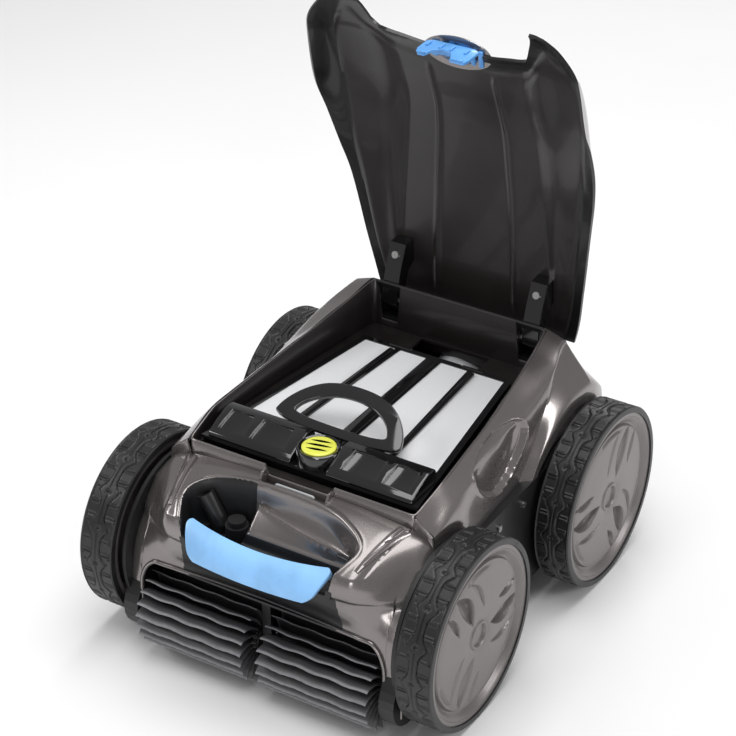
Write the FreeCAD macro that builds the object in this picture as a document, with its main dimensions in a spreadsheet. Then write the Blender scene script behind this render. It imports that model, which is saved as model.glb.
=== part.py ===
import FreeCAD, Part

import math
import os

from FreeCAD import Placement, Rotation, Vector

# Robotic pool cleaner: a wheeled body that carries a lift-out filter, two brushes and a pump.
# X is to the cleaner's right, Y towards its rear and Z up. The origin lies on the floor, midway
# between the front and the rear ends. The lid stands open and everything else is at rest.

SIZES = [
    # alias, value, what it is
    ("wheel_radius", 100, "outside radius of a tyre"),
    ("wheelbase", 278.4, "front axle to rear axle"),
    ("overall_width", 413, "outer tyre face to outer tyre face"),
    ("tyre_width", 40, "width of a tyre"),
    ("tyre_depth", 7.3, "thickness of a tyre's rubber"),
    ("axle_radius", 6, "radius of a fixed wheel axle"),
    ("hub_radius", 14, "radius of a wheel's hub tube"),
    ("run_clearance", 0.06, "radial play of every running fit"),
    ("seat_gap", 0.1, "radial gap between pieces pressed together"),
    ("gearbox_plane", "=overall_width / 2 - tyre_width - 22.5", "inner face of a gearbox plate, from the middle"),
    ("gearbox_plate", 4, "thickness of a gearbox plate"),
    ("gear_start", "=gearbox_plane + gearbox_plate + 1", "inner face of the gears"),
    ("gear_width", 6.5, "face width of the gears"),
    ("cover_plane", "=gear_start + gear_width + 1.5", "inner face of a side cover"),
    ("cover_thick", 4, "thickness of a side cover"),
    ("cover_disc", 88, "radius of the cover's round flange behind a wheel"),
    ("wheel_teeth", 32, "teeth on a wheel's own gear"),
    ("idler_teeth", 20, "teeth on an idler"),
    ("pinion_teeth", 15, "teeth on a motor's pinion"),
    ("brush_teeth", 16, "teeth on a brush's gear"),
    ("pin_radius", 4, "radius of the idler and pivot pins"),
    ("brush_drop", 51, "brush axis below the wheel axles"),
    ("blade_radius", 46, "radius of a brush over its blades"),
    ("blade_count", 14, "blades around a brush"),
    ("blade_thick", 1.6, "thickness of a blade"),
    ("brush_core", 16, "radius of a brush's core"),
    ("brush_inner", 8, "inner end of a brush, from the middle"),
    ("brush_outer", "=gearbox_plane - 6", "outer end of a brush's blades"),
    ("wall", 3, "wall of the body shell"),
    ("tray_bottom", 28, "underside of the base tray"),
    ("tray_top", "=wheel_radius - 5", "top edge of the base tray"),
    ("filter_bottom", 98, "floor of the filter basket"),
    ("filter_top", 211, "top edge of the filter basket"),
    ("filter_front", -128, "front of the filter at its top"),
    ("filter_rear", 127, "rear of the filter at its top"),
    ("filter_half", "=gearbox_plane * 0.875", "half width of the filter at its front top edge"),
    ("filter_taper", 0.142, "how fast the half width falls towards the rear"),
    ("filter_wall", 2.5, "wall of the filter frame"),
    ("well_gap", 4, "gap between the filter and its well"),
    ("well_wall", 2.5, "wall of the filter well"),
    ("inlet_half", 52, "half width of the inlet"),
    ("inlet_front", -60, "front edge of the inlet"),
    ("inlet_rear", -24, "rear edge of the inlet"),
    ("pump_radius", 34, "outside radius of the pump tube"),
    ("pump_wall", 2.5, "wall of the pump tube"),
    ("hinge_back", 178, "lid hinge axis behind the origin"),
    ("hinge_height", 236, "lid hinge axis above the floor"),
    ("lid_open", 87, "angle between the shut and the open lid, degrees"),
    ("lid_wall", 3.4, "thickness of the lid"),
    ("arm_outer", "=gearbox_plane * 2 / 3", "outer side of a hinge arm"),
    ("arm_inner", "=arm_outer - 19", "inner side of a hinge arm"),
    ("gland_bore", 5.5, "radius of the cable gland's bore"),
    ("gland_radius", 9, "outside radius of the cable gland"),
    ("latch_half", "=gearbox_plane / 4.8", "half width of the lid latch"),
    ("latch_gap", 1.0, "gap between the latch's nose and its ledge"),
    ("button_radius", 18, "radius of the filter's release button"),
]

doc = FreeCAD.newDocument("pool_cleaner")
sheet = doc.addObject("Spreadsheet::Sheet", "Size")
for row, (alias, value, words) in enumerate(SIZES, start=1):
    sheet.set(f"A{row}", words)
    sheet.set(f"B{row}", str(value))
    sheet.setAlias(f"B{row}", alias)
doc.recompute()


class Sizes:
    """Reads a driving dimension from the sheet by its alias."""

    def __getattr__(self, alias):
        return float(sheet.get(alias))


D = Sizes()
SIDES = (("left", -1), ("right", 1))
ENDS = (("front", -1), ("rear", 1))
NODES = []


# ---------------------------------------------------------------- helpers


def node(thing, name):
    """Marks a finished document object as a sub-part called name."""
    thing.Label = name
    NODES.append(thing)
    return thing


def bind(thing, **expressions):
    """Binds properties to sheet expressions. Two underscores stand for a dot."""
    for prop, expression in expressions.items():
        thing.setExpression(prop.replace("__", "."), expression)
    return thing


def feature(name, shape):
    """A sub-part whose shape is worked out here from the sheet's sizes."""
    thing = doc.addObject("Part::Feature", name)
    thing.Shape = shape
    return node(thing, name)


def block(x0, x1, y0, y1, z0, z1):
    """A box from its low and high corners."""
    return Part.makeBox(x1 - x0, y1 - y0, z1 - z0, Vector(x0, y0, z0))


def rod(radius, x0, x1, y, z):
    """A round bar along X."""
    low, high = min(x0, x1), max(x0, x1)
    return Part.makeCylinder(radius, high - low, Vector(low, y, z), Vector(1, 0, 0))


def prism_x(outline, x0, x1):
    """A flat outline of (y, z) points pushed along X from x0 to x1."""
    low, high = min(x0, x1), max(x0, x1)
    points = [Vector(low, y, z) for y, z in outline]
    face = Part.Face(Part.makePolygon(points + points[:1]))
    return face.extrude(Vector(high - low, 0, 0))


def prism_z(outline, z0, z1):
    """A flat outline of (x, y) points pushed up from z0 to z1."""
    points = [Vector(x, y, z0) for x, y in outline]
    face = Part.Face(Part.makePolygon(points + points[:1]))
    return face.extrude(Vector(0, 0, z1 - z0))


def flat(points):
    """A flat face through its corners."""
    return Part.Face(Part.makePolygon(points + points[:1]))


def patch(a, b, c, d):
    """One flat face through four corners, or two along the shorter diagonal if they twist."""
    twist = (b - a).cross(c - a).dot(d - a)
    if abs(twist) < 1e-6:
        return [flat([a, b, c, d])]
    if (c - a).Length <= (d - b).Length:
        return [flat([a, b, c]), flat([a, c, d])]
    return [flat([a, b, d]), flat([b, c, d])]


def ruled(sections):
    """A solid with flat facets between closed sections of the same number of points."""
    faces = [flat(sections[0][::-1]), flat(sections[-1])]
    for here, there in zip(sections, sections[1:]):
        for one, two, three, four in zip(
            here, here[1:] + here[:1], there[1:] + there[:1], there
        ):
            faces += patch(one, two, three, four)
    solid = Part.makeSolid(Part.makeShell(faces))
    if solid.Volume < 0:
        solid.reverse()
    return solid


def mirrored(points):
    """A half section of (x, z) points from the bottom outwards and up, made whole."""
    return points + [(-x, z) for x, z in reversed(points)]


def origin_plane(body, role):
    return next(part for part in body.Origin.OriginFeatures if part.Role == role)


def sketch(body, name, role, outlines=(), circles=()):
    """A sketch on one of its body's origin planes, with closed outlines and circles."""
    made = body.newObject("Sketcher::SketchObject", name)
    made.AttachmentSupport = (origin_plane(body, role), [""])
    made.MapMode = "FlatFace"
    for outline in outlines:
        corners = [Vector(u, v, 0) for u, v in outline]
        for here, there in zip(corners, corners[1:] + corners[:1]):
            made.addGeometry(Part.LineSegment(here, there), False)
    for u, v, radius in circles:
        made.addGeometry(Part.Circle(Vector(u, v, 0), Vector(0, 0, 1), radius), False)
    return made


def pad(body, name, drawn, start, length):
    """Pads a sketch from an offset, both given as sheet expressions."""
    drawn.setExpression("AttachmentOffset.Base.z", start)
    made = body.newObject("PartDesign::Pad", name)
    made.Profile = drawn
    made.setExpression("Length", length)
    drawn.Visibility = False
    return made


def span(side, near, far):
    """Start and length, as expressions, of a stretch from near to far on one side."""
    start = near if side > 0 else f"-({far})"
    return start, f"({far}) - ({near})"


def spin_body(name, y, z):
    """A body whose X axis is the axle at y, z."""
    body = doc.addObject("PartDesign::Body", name)
    body.Placement = Placement(Vector(0, y, z), Rotation())
    return body


def turned(body, name, profile):
    """Revolves an (x, radius) profile about the body's X axis."""
    drawn = sketch(body, name + "_profile", "XY_Plane", [profile])
    made = body.newObject("PartDesign::Revolution", name)
    made.Profile = drawn
    made.ReferenceAxis = (drawn, ["H_Axis"])
    made.Angle = 360
    drawn.Visibility = False
    return made


# ---------------------------------------------------------------- gear train

module = D.wheelbase / (D.wheel_teeth + 2 * D.idler_teeth + D.pinion_teeth)
addendum = 0.7 * module
dedendum = 0.95 * module
axle_back = D.wheelbase / 2
axle_height = D.wheel_radius


def pitch_radius(teeth):
    return module * teeth / 2


def gear_outline(teeth, phase):
    """Trapezoid teeth round a gear, the first one centred on the angle phase."""
    pitch = 2 * math.pi / teeth
    root = pitch_radius(teeth) - dedendum
    tip = pitch_radius(teeth) + addendum
    points = []
    for index in range(int(teeth)):
        middle = phase + index * pitch
        for share, radius in ((-0.30, root), (-0.09, tip), (0.09, tip), (0.30, root)):
            angle = middle + share * pitch
            points.append((radius * math.cos(angle), radius * math.sin(angle)))
    return points


def meshed_phase(teeth, phase, other_teeth, towards):
    """The phase that meshes a second gear, seen in the direction towards from the first."""
    along = (towards - phase) * teeth / (2 * math.pi)
    return towards + math.pi - (0.5 - along) * 2 * math.pi / other_teeth


idler_back = axle_back - pitch_radius(D.wheel_teeth + D.idler_teeth)
brush_reach = pitch_radius(D.wheel_teeth + D.brush_teeth)
brush_height = axle_height - D.brush_drop
brush_back = -axle_back - math.sqrt(brush_reach**2 - D.brush_drop**2)
front_end = brush_back - D.blade_radius
rear_end = -front_end

phase_front = 0.0
phase_idler_front = meshed_phase(D.wheel_teeth, phase_front, D.idler_teeth, 0.0)
phase_pinion = meshed_phase(D.idler_teeth, phase_idler_front, D.pinion_teeth, 0.0)
phase_idler_rear = meshed_phase(D.pinion_teeth, phase_pinion, D.idler_teeth, 0.0)
phase_rear = meshed_phase(D.idler_teeth, phase_idler_rear, D.wheel_teeth, 0.0)
towards_brush = math.atan2(brush_height - axle_height, brush_back + axle_back)
phase_brush = meshed_phase(D.wheel_teeth, phase_front, D.brush_teeth, towards_brush)
GEARS = ("Size.gear_start", "Size.gear_start + Size.gear_width")
gear_end = D.gear_start + D.gear_width


def gear_pad(body, name, side, teeth, phase, bore):
    """A toothed disc in the gear layer. A bore of 0 leaves it solid."""
    circles = [(0, 0, bore)] if bore else []
    drawn = sketch(body, name + "_teeth", "YZ_Plane", [gear_outline(teeth, phase)], circles)
    return pad(body, name, drawn, *span(side, *GEARS))


# ---------------------------------------------------------------- wheels and gears

rim_radius = D.wheel_radius - D.tyre_depth
tyre_out = D.overall_width / 2
tyre_in = tyre_out - D.tyre_width
axle_bore = D.axle_radius + D.run_clearance


def wheel(end, side_name, side, at, phase):
    """A dished wheel with its hub tube and gear, and the tyre round it."""
    name = f"wheel_{end}_{side_name}"
    body = spin_body(name, at, axle_height)
    gear_pad(body, name + "_gear", side, D.wheel_teeth, phase, axle_bore)
    web = tyre_out - 20
    lip = tyre_out - 1.5
    cap = tyre_out - 9
    profile = [
        (gear_end - 0.5, axle_bore),
        (gear_end - 0.5, D.hub_radius),
        (web, D.hub_radius),
        (web, rim_radius - 16),
        (tyre_in + 8, rim_radius - 8),
        (tyre_in + 1.5, rim_radius - 6),
        (tyre_in + 1.5, rim_radius),
        (lip, rim_radius),
        (lip, rim_radius - 4),
        (web + 8, rim_radius - 12),
        (web + 5, rim_radius - 17),
        (web + 5, D.hub_radius + 5),
        (cap, D.hub_radius + 1),
        (cap, 0),
        (cap - 4, 0),
        (cap - 4, axle_bore),
    ]
    turned(body, name + "_disc", [(side * x, r) for x, r in profile])
    node(body, name)

    name = f"tyre_{end}_{side_name}"
    body = spin_body(name, at, axle_height)
    middle = (tyre_in + tyre_out) / 2
    inside = rim_radius + D.seat_gap
    profile = [
        (tyre_in, inside),
        (tyre_in, D.wheel_radius - 2.5),
        (tyre_in + 2, D.wheel_radius),
        (middle - 1.2, D.wheel_radius),
        (middle - 1.2, D.wheel_radius - 1.6),
        (middle + 1.2, D.wheel_radius - 1.6),
        (middle + 1.2, D.wheel_radius),
        (tyre_out - 2, D.wheel_radius),
        (tyre_out, D.wheel_radius - 2.5),
        (tyre_out, inside),
    ]
    turned(body, name + "_ring", [(side * x, r) for x, r in profile])
    node(body, name)


for side_name, side in SIDES:
    wheel("front", side_name, side, -axle_back, phase_front)
    wheel("rear", side_name, side, axle_back, phase_rear)
    for end, direction in ENDS:
        name = f"idler_{end}_{side_name}"
        body = spin_body(name, direction * idler_back, axle_height)
        phase = phase_idler_front if end == "front" else phase_idler_rear
        gear_pad(body, name + "_gear", side, D.idler_teeth, phase, D.pin_radius + D.run_clearance)
        node(body, name)

    name = f"pinion_{side_name}"
    body = spin_body(name, 0, axle_height)
    gear_pad(body, name + "_gear", side, D.pinion_teeth, phase_pinion, 0)
    shaft = sketch(body, name + "_section", "YZ_Plane", [], [(0, 0, D.pin_radius)])
    pad(body, name + "_shaft", shaft, *span(side, "Size.gearbox_plane - 14", "Size.gear_start"))
    node(body, name)


def fixed_bars(label, name, radius, near, far, places):
    """Round bars along X on both sides, at each place, as one compound of solids."""
    bars = []
    for side_name, side in SIDES:
        for number, (y, z) in enumerate(places):
            bar = doc.addObject("Part::Cylinder", f"{name}_{side_name}_{number}")
            start, length = span(side, near, far)
            bar.Placement = Placement(Vector(0, y, z), Rotation(Vector(0, 1, 0), 90))
            bind(bar, Radius=radius, Height=length, Placement__Base__x=start)
            bars.append(bar)
    group = doc.addObject("Part::Compound", label)
    group.Links = bars
    return node(group, label)


axle_places = [(-axle_back, axle_height), (axle_back, axle_height)]
idler_places = [(-idler_back, axle_height), (idler_back, axle_height)]
AXLE_END = "Size.overall_width / 2 - 13.5"
fixed_bars("wheel_axles", "axle", "Size.axle_radius", "Size.gearbox_plane", AXLE_END, axle_places)
fixed_bars(
    "idler_pins",
    "idler_pin",
    "Size.pin_radius",
    "Size.gearbox_plane + Size.gearbox_plate",
    "Size.cover_plane",
    idler_places,
)


# ---------------------------------------------------------------- gearboxes


def hull(points):
    """The convex outline round some points."""
    ordered = sorted(set(points))

    def chain(run):
        kept = []
        for p in run:
            while len(kept) > 1:
                (ax, ay), (bx, by) = kept[-2], kept[-1]
                if (bx - ax) * (p[1] - ay) - (by - ay) * (p[0] - ax) > 1e-9:
                    break
                kept.pop()
            kept.append(p)
        return kept[:-1]

    return chain(ordered) + chain(ordered[::-1])


def gearbox_outline(grow):
    """The outline of the gear case, grown outwards: a band round the outer gears."""
    wheel_tip = pitch_radius(D.wheel_teeth) + addendum
    brush_tip = pitch_radius(D.brush_teeth) + addendum
    circles = [
        (-axle_back, axle_height, wheel_tip + 2),
        (axle_back, axle_height, wheel_tip + 2),
        (brush_back, brush_height, brush_tip + 2),
    ]
    points = []
    for y, z, radius in circles:
        for step in range(24):
            angle = 2 * math.pi * step / 24
            reach = radius + grow
            points.append(
                (round(y + reach * math.cos(angle), 4), round(z + reach * math.sin(angle), 4))
            )
    return hull(points)


case_wall = 3
for side_name, side in SIDES:
    name = f"gearbox_plate_{side_name}"
    body = doc.addObject("PartDesign::Body", name)
    holes = [
        (-axle_back, axle_height, D.axle_radius + D.seat_gap),
        (axle_back, axle_height, D.axle_radius + D.seat_gap),
        (0, axle_height, D.pin_radius + 1),
        (brush_back, brush_height, D.pin_radius * 2 + D.run_clearance),
    ]
    drawn = sketch(body, name + "_outline", "YZ_Plane", [gearbox_outline(case_wall)], holes)
    plane = "Size.gearbox_plane"
    pad(body, name + "_pad", drawn, *span(side, plane, plane + " + Size.gearbox_plate"))
    node(body, name)

    name = f"side_cover_{side_name}"
    body = doc.addObject("PartDesign::Body", name)
    hub_hole = D.hub_radius + 1
    drawn = sketch(body, name + "_outline", "YZ_Plane", [gearbox_outline(case_wall)])
    cover = ("Size.cover_plane", "Size.cover_plane + Size.cover_thick")
    pad(body, name + "_panel", drawn, *span(side, *cover))
    outlines = [gearbox_outline(case_wall), gearbox_outline(0)]
    drawn = sketch(body, name + "_rim", "YZ_Plane", outlines)
    pad(body, name + "_wall", drawn, *span(side, plane + " + Size.gearbox_plate", cover[0]))
    for end, direction in ENDS:
        spot = [(direction * axle_back, axle_height, D.cover_disc)]
        drawn = sketch(body, f"{name}_{end}_disc", "YZ_Plane", [], spot)
        pad(body, f"{name}_{end}_flange", drawn, *span(side, *cover))
    spots = [(direction * axle_back, axle_height, hub_hole) for end, direction in ENDS]
    drawn = sketch(body, name + "_holes", "YZ_Plane", [], spots)
    drawn.setExpression("AttachmentOffset.Base.z", f"{side} * Size.cover_plane")
    cut = body.newObject("PartDesign::Pocket", name + "_hub_holes")
    cut.Profile = drawn
    cut.Type = "ThroughAll"
    cut.Midplane = True
    drawn.Visibility = False
    node(body, name)


# ---------------------------------------------------------------- body shell

# The shell's cross-sections from front to rear: y, then half width and height of the top edge,
# of the shoulder and of the side edge.
hood_front = -222
rim_front = -142.5
rim_rear = 170
STATIONS = [
    (hood_front, (112, 160), (138, 146), (152, 128)),
    (-177, (128, 188), (145, 186), (156, 178)),
    (-146, (132, 198), (147, 194), (156.5, 184)),
    (rim_front, (133.4, 216), (146, 205), (156.5, 184)),
    (-96, (136.2, 228), (148, 211), (158, 172)),
    (0, (129, 236), (146, 212), (160, 142)),
    (70, (121, 243.5), (142, 226), (160, 182)),
    (128, (113.5, 252), (136, 243), (160, 215)),
    (rim_rear, (107.6, 260), (132, 247), (160, 210)),
    (176, (106, 247), (131, 238), (160, 208)),
    (200, (100, 214), (126, 206), (157, 190)),
    (237, (88, 146), (112, 138), (140, 112)),
]
wide = D.gearbox_plane / 144
STATIONS = [
    (y,) + tuple((x * wide, z) for x, z in points) for y, *points in STATIONS
]
shell_low = 60


def shell_block(inset, low):
    """The shell's outer form as a solid, set in by inset, and open downwards to low."""
    sections = []
    for y, top, shoulder, side_edge in STATIONS:
        if y == STATIONS[0][0]:
            y += inset
        if y == STATIONS[-1][0]:
            y -= inset
        half = [
            (side_edge[0] - inset, low),
            (side_edge[0] - inset, side_edge[1] - inset / 2),
            (shoulder[0] - inset * 0.7, shoulder[1] - inset * 0.8),
            (top[0] - inset * 0.4, top[1] - inset),
        ]
        sections.append([Vector(x, y, z) for x, z in mirrored(half)])
    return ruled(sections)


def rim_half(y):
    """Half width of the shell's top edge at y."""
    for (y0, a, _, _), (y1, b, _, _) in zip(STATIONS, STATIONS[1:]):
        if y0 <= y <= y1:
            return a[0] + (b[0] - a[0]) * (y - y0) / (y1 - y0)
    raise ValueError(f"no shell section at {y}")


def rim_outline(inset):
    """The opening's edge seen from above, set in by inset."""
    ys = [rim_front] + [s[0] for s in STATIONS if rim_front < s[0] < rim_rear] + [rim_rear]
    right = []
    for y in ys:
        at = min(max(y, rim_front + inset), rim_rear - inset)
        right.append((rim_half(y) - inset, at))
    return right + [(-x, y) for x, y in reversed(right)]


flange_top = 206
outer = shell_block(0, shell_low)
skin = outer.cut(shell_block(D.wall, shell_low - 10))
skin = skin.cut(prism_z(rim_outline(D.wall), flange_top, 300))
collar = prism_z(rim_outline(0), flange_top, 300).cut(prism_z(rim_outline(D.wall), 0, 400))
skin = skin.fuse(collar.common(outer))

# Below the side edge the gear case takes over, and its outline is cleared.
edge_line = [(y, side_edge[1] - 6) for y, _, _, side_edge in STATIONS if y > -150]
below = [(-160, 20)] + [(-160, edge_line[0][1])] + edge_line + [(rear_end + 5, 100)]
below = below + [(rear_end + 5, 20)]
for side_name, side in SIDES:
    inner = side * (D.gearbox_plane - 0.5)
    skin = skin.cut(prism_x(below, inner, side * 200))
    skin = skin.cut(prism_x(gearbox_outline(case_wall + 1), inner, side * 200))
    disc = rod(D.cover_disc + 1, side * (D.cover_plane - 0.5), side * 200, -axle_back, axle_height)
    skin = skin.cut(disc)

# Slots in the rear rim for the hinge arms and their pockets.
pocket_in = D.arm_inner - 7.5
pocket_out = D.arm_outer + 5.5
for side_name, side in SIDES:
    low, high = sorted((side * pocket_in, side * pocket_out))
    skin = skin.cut(block(low, high, 160, 200, 211, 320))

# The arched opening round the brushes.
arch_half = D.brush_outer + 6
arch = prism_x([(-260, 0), (-150, 0), (-150, 111), (-260, 111)], -arch_half, arch_half)
skin = skin.cut(arch)
skin = skin.cut(block(-D.gearbox_plane, D.gearbox_plane, -150, 300, 0, D.tray_top + 0.3))

# The outlet: a round hole square to the rear slope.
rear_top = STATIONS[-2]
rear_low = STATIONS[-1]
slope = Vector(0, rear_low[0] - rear_top[0], rear_low[1][1] - rear_top[1][1])
outlet_axis = Vector(0, -slope.z, slope.y).normalize()
outlet_middle = Vector(
    0, (rear_top[0] + rear_low[0]) / 2, (rear_top[1][1] + rear_low[1][1]) / 2
)
outlet_clear = D.pump_radius + 1


def along_outlet(radius, start, end):
    """A round bar on the outlet's axis, measured outwards from the shell's surface."""
    return Part.makeCylinder(radius, end - start, outlet_middle + outlet_axis * start, outlet_axis)


skin = skin.cut(along_outlet(outlet_clear, -40, 30))

# The front panel between the two seams is a separate moulding.
seam_gap = 0.4
hood_plan = [
    (-130 * wide, rim_front - 1),
    (130 * wide, rim_front - 1),
    (109 * wide, hood_front - 20),
    (-109 * wide, hood_front - 20),
]
hood_zone = prism_z(hood_plan, 90, 240)
wide_plan = [(x + math.copysign(seam_gap, x), y) for x, y in hood_plan]
wide_plan[0] = (wide_plan[0][0], rim_front - 0.6)
wide_plan[1] = (wide_plan[1][0], rim_front - 0.6)
shell = skin.cut(prism_z(wide_plan, 50, 240))
shell = max(shell.Solids, key=lambda s: s.Volume) if len(shell.Solids) > 1 else shell

# ---------------------------------------------------------------- front panel and handle

handle_half = 86 * wide
handle_low_half = 70 * wide
handle_top = 180
handle_bottom = 145
handle_front = front_end + 3


def handle_section(x, drop, forward):
    """One slice of the carrying handle: a wedge, deep at its foot."""
    foot = handle_bottom + drop
    front = handle_front - forward
    return [
        Vector(x, -214, foot),
        Vector(x, front + 2, foot),
        Vector(x, front, foot + 5),
        Vector(x, front + 22, handle_top + 1),
        Vector(x, front + 30, handle_top),
        Vector(x, -208, handle_top - 6),
    ]


handle = ruled(
    [
        handle_section(-handle_half, 18, -16),
        handle_section(-handle_low_half, 2, -6),
        handle_section(-handle_low_half / 2, 0, -1),
        handle_section(handle_low_half / 2, 0, -1),
        handle_section(handle_low_half, 2, -6),
        handle_section(handle_half, 18, -16),
    ]
)

pocket_half = 100 * wide
pocket_rear = -168
pocket_front = -206
pocket_floor = 150
pocket_plan = [
    (-pocket_half + 12, pocket_front),
    (pocket_half - 12, pocket_front),
    (pocket_half, pocket_front + 12),
    (pocket_half - 14, pocket_rear),
    (-pocket_half + 14, pocket_rear),
    (-pocket_half, pocket_front + 12),
]
grow = D.wall
pocket_case = [(x + math.copysign(grow, x), y + (grow if y == pocket_rear else 0)) for x, y in pocket_plan]
pocket_case[0] = (pocket_case[0][0], pocket_front - grow)
pocket_case[1] = (pocket_case[1][0], pocket_front - grow)
latch_box_half = 40 * wide
latch_box_front = -158
latch_box_top = 212

hood = skin.common(hood_zone)
bucket = prism_z(pocket_case, pocket_floor - grow, 260).common(outer)
hood = hood.fuse(bucket)
hood = hood.cut(prism_z(pocket_plan, pocket_floor, 260))
box_back = rim_front - 1
latch_box = block(-latch_box_half, latch_box_half, latch_box_front, box_back, 186, latch_box_top)
hood = hood.cut(block(-latch_box_half, latch_box_half, latch_box_front, box_back, 186, 240))
hood = hood.fuse(latch_box)
inner_half = latch_box_half - 2.5
hood = hood.cut(
    block(-inner_half, inner_half, latch_box_front + 2.5, box_back, 190, latch_box_top)
)
nose_tip = latch_box_front + 5
ledge = block(
    -D.latch_half, D.latch_half, latch_box_front + 2.5, nose_tip - D.latch_gap, 206, 208
)
hood = hood.fuse(ledge)
hood = hood.cut(handle).removeSplitter()
shell = shell.cut(handle)
feature("body_shell", shell)
feature("front_hood", hood)
feature("carry_handle", handle)

# Cable gland: a foot on the pocket's floor and a tube that leans outwards.
gland_place = Vector(32 - pocket_half, -183, pocket_floor)
gland_axis = Vector(-0.5, 0, math.sqrt(0.75))
gland_length = 34
gland_base = gland_place + Vector(0, 0, 10)
gland = Part.makeCylinder(D.gland_radius, 12, gland_place)
gland = gland.fuse(Part.makeSphere(D.gland_radius, gland_base))
gland = gland.fuse(Part.makeCylinder(D.gland_radius, gland_length, gland_base, gland_axis))
bore_depth = gland_length - 8
bore_start = gland_base + gland_axis * (gland_length - bore_depth)
gland = gland.cut(Part.makeCylinder(D.gland_bore, bore_depth + 1, bore_start, gland_axis))
feature("cable_gland", gland)

cap = doc.addObject("Part::Cylinder", "cap_body")
bind(cap, Radius="2 * Size.gland_radius - 6", Height="18")
cap.Placement = Placement(gland_place + Vector(22, -3, 0), Rotation())
knob = doc.addObject("Part::Cylinder", "cap_knob")
bind(knob, Radius="Size.gland_radius", Height="24")
knob.Placement = cap.Placement
joined = doc.addObject("Part::MultiFuse", "gland_cap")
joined.Shapes = [cap, knob]
node(joined, "gland_cap")


# ---------------------------------------------------------------- base tray and front bridge

tray_half = D.gearbox_plane
tray_line = [
    (-150, D.tray_top),
    (-150, 75),
    (-140, D.tray_bottom),
    (188, D.tray_bottom),
    (230, 66),
    (230, D.tray_top),
]


def inset_tray(inset):
    """The inside of the tray: its outline moved in by inset, and open at the top."""
    return [
        (-150 + inset, D.tray_top + 5),
        (-150 + inset, 75),
        (-140 + inset, D.tray_bottom + inset),
        (188 - inset / 2, D.tray_bottom + inset),
        (230 - inset, 66 + inset / 2),
        (230 - inset, D.tray_top + 5),
    ]


chute_top = D.filter_bottom - 7
chute = block(
    -D.inlet_half - 2.5,
    D.inlet_half + 2.5,
    D.inlet_front - 2.5,
    D.inlet_rear + 2.5,
    D.tray_bottom,
    chute_top,
)
inlet = block(-D.inlet_half, D.inlet_half, D.inlet_front, D.inlet_rear, 0, 120)
tray = prism_x(tray_line, -tray_half, tray_half)
tray = tray.cut(prism_x(inset_tray(D.wall), -tray_half + D.wall, tray_half - D.wall))
motor_case = 17
tray = tray.cut(rod(motor_case + 1, -tray_half, tray_half, 0, axle_height))
feature("base_tray", tray.fuse(chute).cut(inlet))

ceiling = [(-150, D.tray_top), (-150, D.tray_top + 2.5), (-214, 109), (-214, 106.5)]
bridge = prism_x(ceiling, -arch_half + 1, arch_half - 1)
strut = [
    (brush_back - 10, 106.5),
    (brush_back - 9, brush_height),
    (brush_back + 9, brush_height),
    (brush_back + 14, 103),
]
strut_half = D.brush_inner - 3
bridge = bridge.fuse(prism_x(strut, -strut_half, strut_half))
bridge = bridge.fuse(rod(11, -strut_half, strut_half, brush_back, brush_height))
stub = D.brush_inner + 16
bridge = bridge.fuse(rod(D.pin_radius, -stub, stub, brush_back, brush_height))
feature("brush_bridge", bridge)


# ---------------------------------------------------------------- brushes

for side_name, side in SIDES:
    name = f"brush_core_{side_name}"
    body = spin_body(name, brush_back, brush_height)
    gear_pad(body, name + "_gear", side, D.brush_teeth, phase_brush, 0)
    journal = D.pin_radius * 2
    socket = D.pin_radius + D.run_clearance
    profile = [
        (D.gear_start + 0.5, 0),
        (D.gear_start + 0.5, journal),
        (D.gearbox_plane - 2, journal),
        (D.gearbox_plane - 2, D.brush_core),
        (D.brush_inner - 1, D.brush_core),
        (D.brush_inner - 1, socket),
        (stub + 1, socket),
        (stub + 1, 0),
    ]
    turned(body, name + "_barrel", [(side * x, r) for x, r in profile])
    node(body, name)

    name = f"brush_blades_{side_name}"
    body = spin_body(name, brush_back, brush_height)
    ring = [(0, 0, D.brush_core + 2), (0, 0, D.brush_core + D.seat_gap)]
    drawn = sketch(body, name + "_ring", "YZ_Plane", [], ring)
    pad(body, name + "_sleeve", drawn, *span(side, "Size.brush_inner", "Size.brush_outer"))
    half = D.blade_thick / 2
    root = D.brush_core + 1
    blade = [(root, -half), (D.blade_radius, -half), (D.blade_radius, half), (root, half)]
    drawn = sketch(body, name + "_blade", "YZ_Plane", [blade])
    fin = pad(body, name + "_fin", drawn, *span(side, "Size.brush_inner", "Size.brush_outer"))
    round_axis = next(a for a in body.Origin.OriginFeatures if a.Role == "X_Axis")
    fan = body.newObject("PartDesign::PolarPattern", name + "_fan")
    fan.Originals = [fin]
    fan.Axis = (round_axis, [""])
    fan.Angle = 360
    bind(fan, Occurrences="Size.blade_count")
    body.Tip = fan
    node(body, name)


# ---------------------------------------------------------------- motors, board and pump

floor_top = D.tray_bottom + D.wall
case = block(-70, 70, 8, 95, floor_top, 84)
hollow = block(-67, 67, 11, 92, floor_top + 3, 90)
case = case.cut(hollow)
for x in (-55, 55):
    for y in (22, 80):
        case = case.fuse(block(x - 3, x + 3, y - 3, y + 3, floor_top + 3, floor_top + 13))
feature("motor_block", case)
feature("electronics_cover", block(-70, 70, 8, 95, 84, 87))

board = doc.addObject("Part::Box", "control_board")
bind(board, Length="120", Width="70", Height="1.6")
board.Placement = Placement(Vector(-60, 16, floor_top + 13), Rotation())
node(board, "control_board")

motors = []
for side_name, side in SIDES:
    can = rod(motor_case, side * (D.gearbox_plane - 46), side * D.gearbox_plane, 0, axle_height)
    bearing = rod(
        D.pin_radius + D.run_clearance,
        side * (D.gearbox_plane - 15),
        side * (D.gearbox_plane + 1),
        0,
        axle_height,
    )
    motors.append(can.cut(bearing))
feature("drive_motors", Part.makeCompound(motors))

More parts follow.
